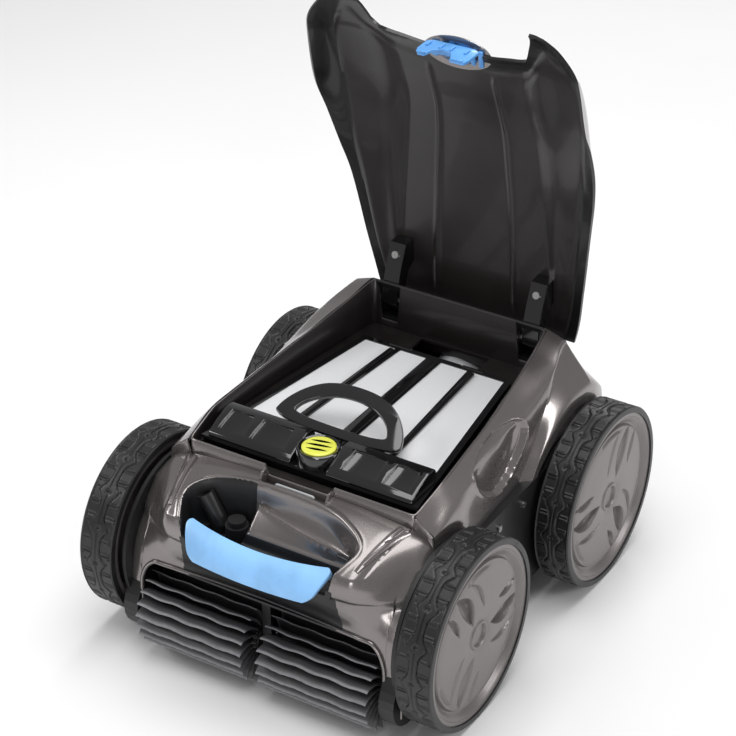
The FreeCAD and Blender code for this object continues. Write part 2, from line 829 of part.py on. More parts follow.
tube_start = -88
tube_bore = D.pump_radius - D.pump_wall
motor_radius = 17
tube = along_outlet(D.pump_radius, tube_start, -0.5).cut(along_outlet(tube_bore, tube_start - 1, 1))
vanes = []
for step in range(3):
    vane = block(motor_radius - 1, tube_bore + 1, -1.25, 1.25, 0, 20)
    vane.rotate(Vector(0, 0, 0), Vector(0, 0, 1), 90 + 120 * step)
    vane.Placement = Placement(
        outlet_middle + outlet_axis * (tube_start + 8), Rotation(Vector(0, 0, 1), outlet_axis)
    ).multiply(vane.Placement)
    vanes.append(vane)
tube = tube.multiFuse(vanes).cut(along_outlet(motor_radius, tube_start, 0))
feature("pump_tube", tube)

pump = along_outlet(motor_radius, tube_start + 3, -48).fuse(along_outlet(2.5, -50, -29))
feature("pump_motor", pump)

hub = along_outlet(9, -47, -27).cut(along_outlet(2.5 + D.run_clearance, -48, -28.5))
blades = []
for step in range(4):
    blade = block(8, tube_bore - 1.5, -0.9, 0.9, -8, 8)
    blade.rotate(Vector(0, 0, 0), Vector(1, 0, 0), 50)
    blade.rotate(Vector(0, 0, 0), Vector(0, 0, 1), 90 * step)
    blade.Placement = Placement(
        outlet_middle + outlet_axis * -37, Rotation(Vector(0, 0, 1), outlet_axis)
    ).multiply(blade.Placement)
    blades.append(blade)
feature("impeller", hub.multiFuse(blades).common(along_outlet(tube_bore - 1.5, -47, -27)))

ring = along_outlet(D.pump_radius + 6, 0.3, 3.3).cut(along_outlet(tube_bore, -1, 4))
bars = []
for offset in (-24, -12, 0, 12, 24):
    reach = math.sqrt((tube_bore + 1) ** 2 - offset**2)
    bar = block(offset - 1.5, offset + 1.5, -reach, reach, 0.3, 3.3)
    bar.Placement = Placement(outlet_middle, Rotation(Vector(0, 0, 1), outlet_axis))
    bars.append(bar)
feature("outlet_grille", ring.multiFuse(bars).removeSplitter())

bumper_plan = [
    (-118, 231),
    (-100, rear_end - 3),
    (-84, rear_end),
    (84, rear_end),
    (100, rear_end - 3),
    (118, 231),
]
bumper = prism_z(bumper_plan, 70, 104)
feature("rear_bumper", bumper.cut(outer).cut(tray))


# ---------------------------------------------------------------- filter and its well


def tapered(outwards, z0, z1):
    """The filter's form between two heights, grown outwards all round."""
    depth = D.filter_top - D.filter_bottom
    corners = []
    for z in (z0, z1):
        down = (D.filter_top - z) / depth
        front = D.filter_front + 24 * down - outwards
        rear = D.filter_rear - 42 * down + outwards
        at_front = D.filter_half - D.filter_taper * (front - D.filter_front) - 34 * down + outwards
        at_rear = D.filter_half - D.filter_taper * (rear - D.filter_front) - 34 * down + outwards
        corners.append(
            [
                Vector(-at_front, front, z),
                Vector(at_front, front, z),
                Vector(at_rear, rear, z),
                Vector(-at_rear, rear, z),
            ]
        )
    return ruled(corners)


well_floor = D.filter_bottom - 4
well_out = D.well_gap + D.well_wall
well = tapered(well_out, chute_top, flange_top).cut(
    tapered(D.well_gap, well_floor, flange_top + 5)
)
flange = prism_z(rim_outline(D.wall - 1), flange_top - 3, flange_top)
well = well.fuse(flange.cut(tapered(D.well_gap, 150, flange_top + 5)))
well = well.cut(block(-42, 42, D.filter_rear + well_out + 1, rim_rear - 6, 150, 300))
well = well.cut(inlet)
feature("filter_well", well.removeSplitter())

basket_low = D.filter_bottom - 3
basket = tapered(0, D.filter_bottom, D.filter_top).cut(
    tapered(-D.filter_wall, D.filter_bottom - 1, D.filter_top + 1)
)
window_low = D.filter_bottom + 14
window_high = D.filter_top - 14
window_band = tapered(5, window_low, window_high)
posts = []
for x in (-75 * wide, -25, 25, 75 * wide):
    posts.append(block(x - 4, x + 4, -200, 200, 0, 300))
for y in (-85, -25, 35, 85):
    posts.append(block(-200, 200, y - 4, y + 4, 0, 300))
windows = window_band.cut(tapered(-D.filter_wall - 1, 90, 230))
for post in posts:
    windows = windows.cut(post)
frame = basket.cut(windows)
mesh_ring = tapered(-0.8, window_low, window_high).cut(tapered(-1.8, 90, 230))
feature("filter_screens", mesh_ring.common(windows))

inlet_hole = block(-D.inlet_half, D.inlet_half, D.inlet_front, D.inlet_rear, 80, 120)
base = tapered(0, basket_low, D.filter_bottom).cut(inlet_hole)
flap_height = D.filter_bottom + 1.6
flap_pin = 1.2
lugs = []
for y in (D.inlet_front + 0.5, D.inlet_rear - 0.5):
    for side_name, side in SIDES:
        low, high = sorted((side * (D.inlet_half + 1), side * (D.inlet_half + 4)))
        lug = block(low, high, y - 3, y + 3, D.filter_bottom, flap_height + 3)
        hole = rod(flap_pin + D.run_clearance, low - 1, high + 1, y, flap_height)
        lugs.append(lug.cut(hole))
feature("filter_base", base.multiFuse(lugs))
for name, edge, direction in (("front", D.inlet_front, 1), ("rear", D.inlet_rear, -1)):
    axis_back = edge + 0.5 * direction
    reach = (D.inlet_rear - D.inlet_front) / 2 - 1.3
    low, high = sorted((axis_back, axis_back + reach * direction))
    leaf = block(-D.inlet_half, D.inlet_half, low, high, flap_height - 0.8, flap_height + 0.8)
    pin = rod(flap_pin, -D.inlet_half - 3.8, D.inlet_half + 3.8, axis_back, flap_height)
    feature(f"inlet_flap_{name}", leaf.fuse(pin))

# The cover of the filter: a ribbed top with four screens, hinged along its rear edge.
cover_low = D.filter_top + 0.4
cover_high = cover_low + 4
plate = tapered(0, cover_low, cover_high)
screen_rear = D.filter_rear - 9
screen_front = -74
rib_half = 3
inner_rib = 9
pane_split = 0.52
panes = []
for side_name, side in SIDES:
    for low_share, high_share in ((None, pane_split), (pane_split, 1)):
        plan = []
        for y, last in ((screen_front, False), (screen_rear, True)):
            width = D.filter_half - D.filter_taper * (y - D.filter_front) - 6
            near = inner_rib if low_share is None else width * low_share + rib_half
            far = width * high_share - (0 if high_share == 1 else rib_half)
            row = [(side * near, y), (side * far, y)]
            plan += row[::-1] if last else row
        panes.append(prism_z(plan, cover_low - 1, cover_high + 1))
windows = Part.makeCompound(panes)
plate = plate.cut(windows)
hinge_y = D.filter_rear - 3
hinge_z = cover_low + 2
knuckle = 2.4
pivot = 1.2
plate = plate.cut(block(-200, 200, hinge_y + 0.7, hinge_y + 50, cover_low - 1, cover_high + 1))
for side_name, side in SIDES:
    low, high = sorted((side * 30, side * 60))
    gap = block(low, high, hinge_y - knuckle - 0.6, hinge_y + 20, cover_low - 1, cover_high + 1)
    plate = plate.cut(gap)
    plate = plate.fuse(rod(pivot, low - 1, high + 1, hinge_y, hinge_z))
feature("filter_cover", plate)
for side_name, side in SIDES:
    low, high = sorted((side * 32, side * 58))
    lug = rod(knuckle, low, high, hinge_y, hinge_z)
    lug = lug.fuse(block(low, high, hinge_y, hinge_y + 2.2, D.filter_top, hinge_z))
    frame = frame.fuse(lug.cut(rod(pivot + D.run_clearance, low, high, hinge_y, hinge_z)))
feature("filter_frame", frame)
top_screens = windows.common(tapered(-6, cover_low + 1, cover_high - 1))
feature("cover_screens", top_screens)

bar_rear = -80
bar_front = -127
bar_half = 120 * wide
bar_line = [
    (bar_rear, cover_high),
    (bar_rear, 230),
    (bar_rear - 5, 233),
    (bar_rear - 14, 233),
    (bar_front + 4, 222),
    (bar_front, 219),
    (bar_front, cover_high),
]
button_back = -106
bar = prism_x(bar_line, -bar_half, bar_half)
bezel_low = cover_high
bezel_top = 231
button_place = Vector(0, button_back, bezel_low)
bar = bar.cut(Part.makeCylinder(D.button_radius + 5, 30, button_place))
bezel = Part.makeCylinder(D.button_radius + 5, bezel_top - bezel_low, button_place)
button_well = button_place + Vector(0, 0, 4)
bar = bar.fuse(bezel.cut(Part.makeCylinder(D.button_radius + 0.4, 20, button_well)))
feature("filter_crossbar", bar)
button = doc.addObject("Part::Cylinder", "button_disc")
bind(button, Radius="Size.button_radius", Height="7")
button.Placement = Placement(Vector(0, button_back, bezel_top - 6), Rotation())
node(button, "release_button")

# The lifting handle: a D-shaped band that rises from the crossbar towards the rear.
tilt = math.radians(27)
foot_back = bar_rear
foot_height = 225
outline = [(-76, 0), (-70, 26), (-50, 50), (-22, 62), (22, 62), (50, 50), (70, 26), (76, 0)]
hole = [(-50, 12), (-46, 22), (-30, 32), (-12, 36), (12, 36), (30, 32), (46, 22), (50, 12)]
band = prism_z(outline, 0, 5).cut(prism_z(hole, -1, 6))
band.Placement = Placement(
    Vector(0, foot_back, foot_height), Rotation(Vector(1, 0, 0), math.degrees(tilt))
)
feature("filter_handle", band.cut(bar).cut(block(-100, 100, -200, bar_rear, 0, 300)))


# ---------------------------------------------------------------- hinge

pocket_line = [(171.5, 212), (196, 212), (196, 220), (184, 244), (171.5, 252)]
brackets = []
pins = []
for side_name, side in SIDES:
    low, high = sorted((side * (D.arm_inner - 7), side * (D.arm_outer + 5)))
    shape = prism_x(pocket_line, low, high)
    in_low, in_high = sorted((side * (D.arm_inner - 4), side * (D.arm_outer + 2)))
    shape = shape.cut(block(in_low, in_high, 150, 193, 214.5, 320))
    hole = rod(D.pin_radius + D.seat_gap, low - 1, high + 1, D.hinge_back, D.hinge_height)
    brackets.append(shape.cut(hole))
    pins.append(rod(D.pin_radius, low, high, D.hinge_back, D.hinge_height))
feature("hinge_brackets", Part.makeCompound(brackets))
feature("hinge_pins", Part.makeCompound(pins))


# ---------------------------------------------------------------- lid

# The lid's cross-sections when shut, from front to rear: y, then half width and height of its
# edge, of its shoulder and of its crown, all on the inside.
LID = [
    (-200, (117, 187), (104, 191), (90, 191)),
    (-187, (134, 191), (112, 202), (85, 204)),
    (-157, (153, 194), (131, 215), (80, 219)),
    (-142, (154, 197), (138.5, 222), (76, 231)),
    (-96, (156, 206), (142, 234), (72, 248)),
    (-74, (158, 214), (141, 238), (72, 256)),
    (-40, (156, 228), (139, 242), (76, 264)),
    (0, (151, 240), (136, 246), (80, 266)),
    (37, (144, 249), (132, 252), (84, 267)),
    (120, (132, 259), (122, 261), (90, 267)),
    (rim_rear, (124, 265), (113, 266), (92, 267)),
    (188, (120, 266), (108, 266), (92, 267)),
]
LID = [(y,) + tuple((x * wide, z) for x, z in points) for y, *points in LID]


def lid_sheet(top, bottom, half_limit, first, last):
    """A sheet that follows the lid's inside, from bottom to top above it."""
    sections = []
    for y, edge, shoulder, crown in LID:
        if not first <= y <= last:
            continue
        if half_limit is None:
            outer_line = [
                (edge[0] + top, edge[1]),
                (shoulder[0] + top, shoulder[1] + top),
                (crown[0], crown[1] + top),
            ]
            inner_line = [edge, shoulder, crown]
        else:
            reach = half_limit(y)
            share = (reach - crown[0]) / (shoulder[0] - crown[0])
            height = crown[1] + share * (shoulder[1] - crown[1])
            outer_line = [(reach, height + top), (crown[0], crown[1] + top)]
            inner_line = [(reach, height + bottom), (crown[0], crown[1] + bottom)]
        right = inner_line[::-1] + outer_line
        left = [(-x, z) for x, z in reversed(right)]
        sections.append([Vector(x, y, z) for x, z in right + left])
    return ruled(sections)


def opened(shape):
    """Swings a piece of the shut lid open about the hinge."""
    made = shape.copy()
    made.rotate(
        Vector(0, D.hinge_back, D.hinge_height), Vector(1, 0, 0), -D.lid_open
    )
    return made


lid = lid_sheet(D.lid_wall, 0, None, -300, 300)
latch_notch = -142.5
front_edge = [
    (-101 * wide, -215),
    (101 * wide, -215),
    (84 * wide, -153),
    (D.latch_half + 4, latch_notch),
    (-D.latch_half - 4, latch_notch),
    (-84 * wide, -153),
]
lid = lid.cut(prism_z(front_edge, 100, 320))
liner = lid_sheet(-0.2, -2.2, lambda y: rim_half(y) - 10, rim_front + 0.4, 120).cut(lid)
feature("lid_shell", opened(lid))
feature("lid_liner", opened(liner))

arm_line = [
    (170, 236),
    (171, 254),
    (178, 276),
    (188, 300),
    (212, 302),
    (212, 276),
    (194, 268),
    (187, 250),
    (186, 236),
]
lid_open_shape = opened(lid)
liner_open_shape = opened(liner)
screws = []
for side_name, side in SIDES:
    low, high = sorted((side * D.arm_inner, side * D.arm_outer))
    arm = prism_x(arm_line, low, high)
    arm = arm.fuse(rod(8, low, high, D.hinge_back, D.hinge_height))
    bearing = rod(D.pin_radius + D.run_clearance, low - 1, high + 1, D.hinge_back, D.hinge_height)
    arm = arm.cut(bearing).cut(lid_open_shape).cut(liner_open_shape)
    arm = max(arm.Solids, key=lambda s: s.Volume)
    feature(f"hinge_arm_{side_name}", arm)
    middle = side * (D.arm_inner + D.arm_outer) / 2
    (low_y, low_z), (high_y, high_z) = arm_line[2:4]
    seat = Vector(middle, (low_y + high_y) / 2, (low_z + high_z) / 2)
    outwards = Vector(0, low_z - high_z, high_y - low_y)
    screws.append(Part.makeCylinder(4, 2.5, seat, outwards))
feature("lid_screws", Part.makeCompound(screws))

latch_back = nose_tip + 5.5
latch = block(-D.latch_half, D.latch_half, latch_back - 3.5, latch_back, 202, 229)
nose = block(-D.latch_half, D.latch_half, nose_tip, latch_back - 3.5, 202, 204.5)
tongue = block(-22, 22, latch_back, latch_back + 10, 224.5, 227.5)
feature("lid_latch", opened(latch.fuse(nose).fuse(tongue)))


# ---------------------------------------------------------------- screws

heads = []
for side_name, side in SIDES:
    for y in (-25, 25):
        for z in (58, 142):
            face = D.cover_plane + D.cover_thick
            heads.append(rod(3.5, side * face, side * (face + 2), y, z))
feature("body_screws", Part.makeCompound(heads))


# ---------------------------------------------------------------- checks and export

doc.recompute()
for thing in doc.Objects:
    if "Invalid" in thing.State or "Error" in thing.State:
        raise RuntimeError(f"{thing.Label} failed to build")

os.makedirs("parts", exist_ok=True)
for thing in NODES:
    shape = thing.Shape
    if shape.isNull() or not shape.isValid() or not shape.Solids:
        raise RuntimeError(f"{thing.Label} is not a valid solid")
    shape.exportStep(f"parts/{thing.Label}.step")
print(len(NODES), "sub-parts, length", round(rear_end - front_end, 2))
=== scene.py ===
"""The looks of a wheeled robotic pool cleaner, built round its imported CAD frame.

Lengths in this file are millimetres in the frame's own axes: X to the cleaner's right, Y towards
its rear, Z up. They become metres when a mesh is made.
"""

import math

import bmesh
import bpy
import numpy as np
from mathutils import Matrix, Vector


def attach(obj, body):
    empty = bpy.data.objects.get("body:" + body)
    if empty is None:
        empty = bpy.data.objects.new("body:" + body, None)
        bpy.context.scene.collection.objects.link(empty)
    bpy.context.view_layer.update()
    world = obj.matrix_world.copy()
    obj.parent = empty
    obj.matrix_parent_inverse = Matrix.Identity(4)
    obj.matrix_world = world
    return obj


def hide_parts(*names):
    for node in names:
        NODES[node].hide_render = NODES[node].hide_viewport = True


bl_info = {
    "name": "Pool cleaner looks",
    "version": (1, 0, 0),
    "blender": (4, 5, 0),
    "location": "3D View > Sidebar > Pool cleaner",
    "description": "Builds the moulded skins, tyres, brushes, lid and filter of a pool cleaner",
    "category": "Object",
}

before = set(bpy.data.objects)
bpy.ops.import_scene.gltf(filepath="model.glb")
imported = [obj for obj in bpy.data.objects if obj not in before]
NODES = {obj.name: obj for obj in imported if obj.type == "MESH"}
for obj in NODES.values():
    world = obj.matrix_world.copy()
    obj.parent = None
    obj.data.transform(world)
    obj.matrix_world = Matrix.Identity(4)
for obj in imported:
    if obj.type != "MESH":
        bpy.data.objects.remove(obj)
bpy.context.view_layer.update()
MM = 0.001
SIDES = (("left", -1), ("right", 1))
ENDS = (("front", -1), ("rear", 1))
BUTTON_Y = -106


# ------------------------------------------------------------------ shapes


def spline(keys, values, at):
    """Smooth values at places between keys, with no overshoot. Values may have columns."""
    keys = np.asarray(keys, float)
    values = np.asarray(values, float)
    flat = values.ndim == 1
    if flat:
        values = values[:, None]
    at = np.asarray(at, float)
    shape = at.shape
    at = np.clip(at.ravel(), keys[0], keys[-1])
    step = np.diff(keys)[:, None]
    slope = np.diff(values, axis=0) / step
    tangent = np.zeros_like(values)
    before, after = slope[:-1], slope[1:]
    same = before * after > 0
    weight_one = 2 * step[1:] + step[:-1]
    weight_two = step[1:] + 2 * step[:-1]
    safe_before = np.where(same, before, 1)
    safe_after = np.where(same, after, 1)
    mean = (weight_one + weight_two) / (weight_one / safe_before + weight_two / safe_after)
    tangent[1:-1] = np.where(same, mean, 0)
    tangent[0], tangent[-1] = slope[0], slope[-1]
    index = np.clip(np.searchsorted(keys, at, side="right") - 1, 0, len(keys) - 2)
    width = step[index]
    t = ((at - keys[index])[:, None]) / width
    made = (
        (2 * t**3 - 3 * t**2 + 1) * values[index]
        + (t**3 - 2 * t**2 + t) * width * tangent[index]
        + (3 * t**2 - 2 * t**3) * values[index + 1]
        + (t**3 - t**2) * width * tangent[index + 1]
    )
    return made[:, 0].reshape(shape) if flat else made


def ease(low, high, value):
    """0 below low, 1 above high and smooth between."""
    t = np.clip((np.asarray(value, float) - low) / (high - low), 0, 1)
    return t * t * (3 - 2 * t)


def outline_distance(points, u, v):
    """Distance from each (u, v) to a closed outline: negative inside it."""
    points = np.asarray(points, float)
    ends = np.roll(points, -1, axis=0)
    nearest = np.full(np.shape(u), 1e9)
    inside = np.zeros(np.shape(u), bool)
    for (ax, ay), (bx, by) in zip(points, ends):
        along_x, along_y = bx - ax, by - ay
        share = ((u - ax) * along_x + (v - ay) * along_y) / (along_x**2 + along_y**2)
        share = np.clip(share, 0, 1)
        gap = np.hypot(u - ax - share * along_x, v - ay - share * along_y)
        nearest = np.minimum(nearest, gap)
        crosses = (ay > v) != (by > v)
        run = along_x * (v - ay) / (along_y if along_y else 1e-9) + ax
        inside ^= crosses & (u < run)
    return np.where(inside, -nearest, nearest)


def rounded(points, steps=4):
    """A closed outline with its corners cut again and again until they are round."""
    points = np.asarray(points, float)
    for _ in range(steps):
        ends = np.roll(points, -1, axis=0)
        cut = np.empty((2 * len(points), points.shape[1]))
        cut[0::2] = points * 0.75 + ends * 0.25
        cut[1::2] = points * 0.25 + ends * 0.75
        points = cut
    return points


def add_object(name, points, faces, materials, marks=None, crease=40):
    """An object at the origin from points in millimetres. marks picks a material for each face."""
    mesh = bpy.data.meshes.new(name)
    mesh.from_pydata((np.asarray(points, float) * MM).tolist(), [], faces)
    for material in materials:
        mesh.materials.append(material)
    if marks is not None:
        mesh.polygons.foreach_set("material_index", marks)
    work = bmesh.new()
    work.from_mesh(mesh)
    bmesh.ops.remove_doubles(work, verts=work.verts, dist=1e-6)
    bmesh.ops.recalc_face_normals(work, faces=work.faces)
    work.to_mesh(mesh)
    work.free()
    finish_mesh(mesh, crease)
    obj = bpy.data.objects.new(name, mesh)
    bpy.context.scene.collection.objects.link(obj)
    return obj


def finish_mesh(mesh, crease):
    """Smooth shading with crisp edges where faces meet at more than crease degrees."""
    mesh.polygons.foreach_set("use_smooth", [True] * len(mesh.polygons))
    mesh.set_sharp_from_angle(angle=math.radians(crease))
    mesh.update()


def grid_faces(rows, columns, start=0, close_rows=False, close_columns=False):
    """Four-cornered faces over a grid of points numbered row by row."""
    faces = []
    for i in range(rows if close_rows else rows - 1):
        for j in range(columns if close_columns else columns - 1):
            a = start + i * columns + j
            b = start + i * columns + (j + 1) % columns
            c = start + ((i + 1) % rows) * columns + (j + 1) % columns
            d = start + ((i + 1) % rows) * columns + j
            faces.append((a, b, c, d))
    return faces


def grid_normals(points):
    """The unit normal at every point of a grid."""
    across = np.gradient(points, axis=1)
    along = np.gradient(points, axis=0)
    normal = np.cross(across, along)
    return normal / np.maximum(np.linalg.norm(normal, axis=2, keepdims=True), 1e-9)


def skin(name, points, wall, materials, inner_mark=0, crease=40):
    """A closed sheet: the grid's surface, the same moved by wall along its normals, and edges."""
    rows, columns = points.shape[:2]
    inner = points + grid_normals(points) * wall
    everything = np.concatenate([points.reshape(-1, 3), inner.reshape(-1, 3)])
    count = rows * columns
    top = grid_faces(rows, columns)
    faces = list(top)
    faces += [tuple(count + i for i in reversed(face)) for face in top]
    border = (
        [(0, j) for j in range(columns)]
        + [(i, columns - 1) for i in range(1, rows)]
        + [(rows - 1, j) for j in range(columns - 2, -1, -1)]
        + [(i, 0) for i in range(rows - 2, 0, -1)]
    )
    numbers = [i * columns + j for i, j in border]
    for a, b in zip(numbers, numbers[1:] + numbers[:1]):
        faces.append((b, a, count + a, count + b))
    marks = [0] * len(top) + [inner_mark] * (len(faces) - len(top))
    return add_object(name, everything, faces, materials, marks, crease)


def mirrored_grid(points):
    """The same grid on the other side of the cleaner."""
    other = points.copy()
    other[..., 0] *= -1
    return other[:, ::-1]


def swept(path, radius, sides=10, closed=False, squash=1.0):
    """Points and faces of a round bead along a path."""
    path = np.asarray(path, float)
    if closed:
        along = np.roll(path, -1, axis=0) - np.roll(path, 1, axis=0)
    else:
        along = np.gradient(path, axis=0)
    along /= np.linalg.norm(along, axis=1, keepdims=True)
    side = np.cross(along, [0.0, 0.0, 1.0])
    weak = np.linalg.norm(side, axis=1) < 1e-3
    side[weak] = [1.0, 0.0, 0.0]
    side /= np.linalg.norm(side, axis=1, keepdims=True)
    up = np.cross(side, along)
    turn = np.linspace(0, 2 * math.pi, sides, endpoint=False)
    ring = (
        path[:, None]
        + radius * np.cos(turn)[None, :, None] * side[:, None]
        + radius * squash * np.sin(turn)[None, :, None] * up[:, None]
    )
    faces = grid_faces(len(path), sides, close_rows=closed, close_columns=True)
    if not closed:
        faces.append(tuple(range(sides)))
        faces.append(tuple((len(path) - 1) * sides + i for i in reversed(range(sides))))
    return ring.reshape(-1, 3), faces


def lathe(profile, turns, y, z, side):
    """Points and faces of a closed (x, radius) profile spun round the axle at y, z."""
    profile = np.asarray(profile, float)
    angle = np.linspace(0, 2 * math.pi, turns, endpoint=False)[:, None]
    x = np.repeat(profile[None, :, 0] * side, turns, axis=0)
    points = np.stack(
        [x, y + profile[None, :, 1] * np.cos(angle), z + profile[None, :, 1] * np.sin(angle)], 2
    )
    return points.reshape(-1, 3), grid_faces(
        turns, len(profile), close_rows=True, close_columns=True
    )


def upright(profile, turns, y):
    """A shape turned about an upright line through y. The profile holds height and radius."""
    points = []
    for i in range(turns):
        angle = 2 * math.pi * i / turns
        points += [(r * math.cos(angle), y + r * math.sin(angle), z) for z, r in profile]
    return points, grid_faces(turns, len(profile), close_rows=True, close_columns=True)


def prism(outline, low, high, axis=2):
    """Points and faces of a flat outline pushed along one axis."""
    outline = np.asarray(outline, float)
    count = len(outline)
    layers = [np.insert(outline, axis, value, axis=1) for value in (low, high)]
    faces = [tuple(range(count))[::-1], tuple(range(count, 2 * count))]
    for i in range(count):
        j = (i + 1) % count
        faces.append((i, j, count + j, count + i))
    return np.concatenate(layers), faces


def joined(*parts):
    """Several (points, faces) pairs as one."""
    points, faces, start = [], [], 0
    for some, their_faces in parts:
        points.append(np.asarray(some, float))
        faces += [tuple(start + i for i in face) for face in their_faces]
        start += len(some)
    return np.concatenate(points), faces


def baked(obj, crease=40):
    """Turns an object's modifiers into its mesh."""
    evaluated = obj.evaluated_get(bpy.context.evaluated_depsgraph_get())
    mesh = bpy.data.meshes.new_from_object(evaluated)
    obj.modifiers.clear()
    obj.data = mesh
    finish_mesh(mesh, crease)
    return obj


def softened(obj, width, segments=3, crease=35):
    """Rounds an object's edges and bakes the result."""
    bevel = obj.modifiers.new("soft_edges", "BEVEL")
    bevel.width = width * MM
    bevel.segments = segments
    bevel.limit_method = "ANGLE"
    bevel.angle_limit = math.radians(30)
    return baked(obj, crease)


def carved(obj, points, faces, crease=40):
    """Cuts a closed shape out of an object."""
    cutter = add_object(obj.name + "_cutter", points, faces, list(obj.data.materials))
    cut = obj.modifiers.new("cut", "BOOLEAN")
    cut.operation = "DIFFERENCE"
    cut.solver = "EXACT"
    cut.object = cutter
    baked(obj, crease)
    bpy.data.objects.remove(cutter)
    return obj


def place(obj, body, slot, *nodes):
    """Fixes a finished piece to its body and hides the CAD nodes it stands for. slot, its finish, is not
    used.
    """
    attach(obj, body)
    if nodes:
        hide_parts(*nodes)
    return obj


# ------------------------------------------------------------------ repeats


class Tree:
    """A geometry node tree that is written as a list of steps."""

    def __init__(self, name):
        self.group = bpy.data.node_groups.new(name, "GeometryNodeTree")
        self.sockets = {}
        self.take("Geometry", "NodeSocketGeometry")
        self.group.interface.new_socket(
            "Geometry", in_out="OUTPUT", socket_type="NodeSocketGeometry"
        )
        self.start = self.group.nodes.new("NodeGroupInput")
        self.end = self.group.nodes.new("NodeGroupOutput")

    def take(self, name, kind):
        made = self.group.interface.new_socket(name, in_out="INPUT", socket_type=kind)
        self.sockets[name] = made.identifier

    def step(self, kind, settings, inputs):
        node = self.group.nodes.new(kind)
        for key, value in settings.items():
            setattr(node, key, value)
        for key, value in inputs.items():
            if isinstance(value, bpy.types.NodeSocket):
                self.group.links.new(value, node.inputs[key])
            else:
                node.inputs[key].default_value = value
        return node


def ring_tree():
    """Repeats a piece at equal angles round a line along X."""
    tree = Tree("ring_of_pieces")
    tree.take("Count", "NodeSocketInt")
    tree.take("Axis back", "NodeSocketFloat")
    tree.take("Axis height", "NodeSocketFloat")
    tree.take("Material", "NodeSocketMaterial")
    given = tree.start.outputs
    axis = tree.step(
        "ShaderNodeCombineXYZ", {}, {"Y": given["Axis back"], "Z": given["Axis height"]}
    )
    back = tree.step(
        "ShaderNodeVectorMath", {"operation": "SCALE"}, {0: axis.outputs[0], "Scale": -1.0}
    )
    centred = tree.step(
        "GeometryNodeTransform", {}, {"Geometry": given["Geometry"], "Translation": back.outputs[0]}
    )
    spots = tree.step("GeometryNodePoints", {}, {"Count": given["Count"]})
    index = tree.step("GeometryNodeInputIndex", {}, {})
    share = tree.step(
        "ShaderNodeMath", {"operation": "DIVIDE"}, {0: index.outputs[0], 1: given["Count"]}
    )
    angle = tree.step(
        "ShaderNodeMath", {"operation": "MULTIPLY"}, {0: share.outputs[0], 1: 2 * math.pi}
    )
    turn = tree.step("ShaderNodeCombineXYZ", {}, {"X": angle.outputs[0]})
    copies = tree.step(
        "GeometryNodeInstanceOnPoints",
        {},
        {
            "Points": spots.outputs[0],
            "Instance": centred.outputs[0],
            "Rotation": turn.outputs[0],
        },
    )
    real = tree.step("GeometryNodeRealizeInstances", {}, {"Geometry": copies.outputs[0]})
    moved = tree.step(
        "GeometryNodeTransform",
        {},
        {"Geometry": real.outputs[0], "Translation": axis.outputs[0]},
    )
    merged = tree.step(
        "GeometryNodeMergeByDistance", {}, {"Geometry": moved.outputs[0], "Distance": 2e-6}
    )
    coloured = tree.step(
        "GeometryNodeSetMaterial",
        {},
        {"Geometry": merged.outputs[0], "Material": given["Material"]},
    )
    tree.group.links.new(coloured.outputs[0], tree.end.inputs[0])
    return tree


def ring_of(obj, tree, count, y, z, material, crease=40):
    """Repeats a piece round the line along X at y, z and bakes the result."""
    modifier = obj.modifiers.new("ring", "NODES")
    modifier.node_group = tree.group
    modifier[tree.sockets["Count"]] = count
    modifier[tree.sockets["Axis back"]] = y * MM
    modifier[tree.sockets["Axis height"]] = z * MM
    modifier[tree.sockets["Material"]] = material
    return baked(obj, crease)


# ------------------------------------------------------------------ finishes


class Value:
    """A shader socket that can be used in sums."""

    def __init__(self, shade, socket):
        self.shade = shade
        self.socket = socket

    def sum(self, operation, *terms):
        inputs = dict(enumerate(terms))
        node = self.shade.node("ShaderNodeMath", {"operation": operation}, inputs)
        return Value(self.shade, node.outputs[0])

    def __add__(self, other):
        return self.sum("ADD", self, other)

    def __sub__(self, other):
        return self.sum("SUBTRACT", self, other)

    def __rsub__(self, other):
        return self.sum("SUBTRACT", other, self)

    def __mul__(self, other):
        return self.sum("MULTIPLY", self, other)

    def __truediv__(self, other):
        return self.sum("DIVIDE", self, other)

    def __pow__(self, other):
        return self.sum("POWER", self, other)

    __radd__ = __add__
    __rmul__ = __mul__


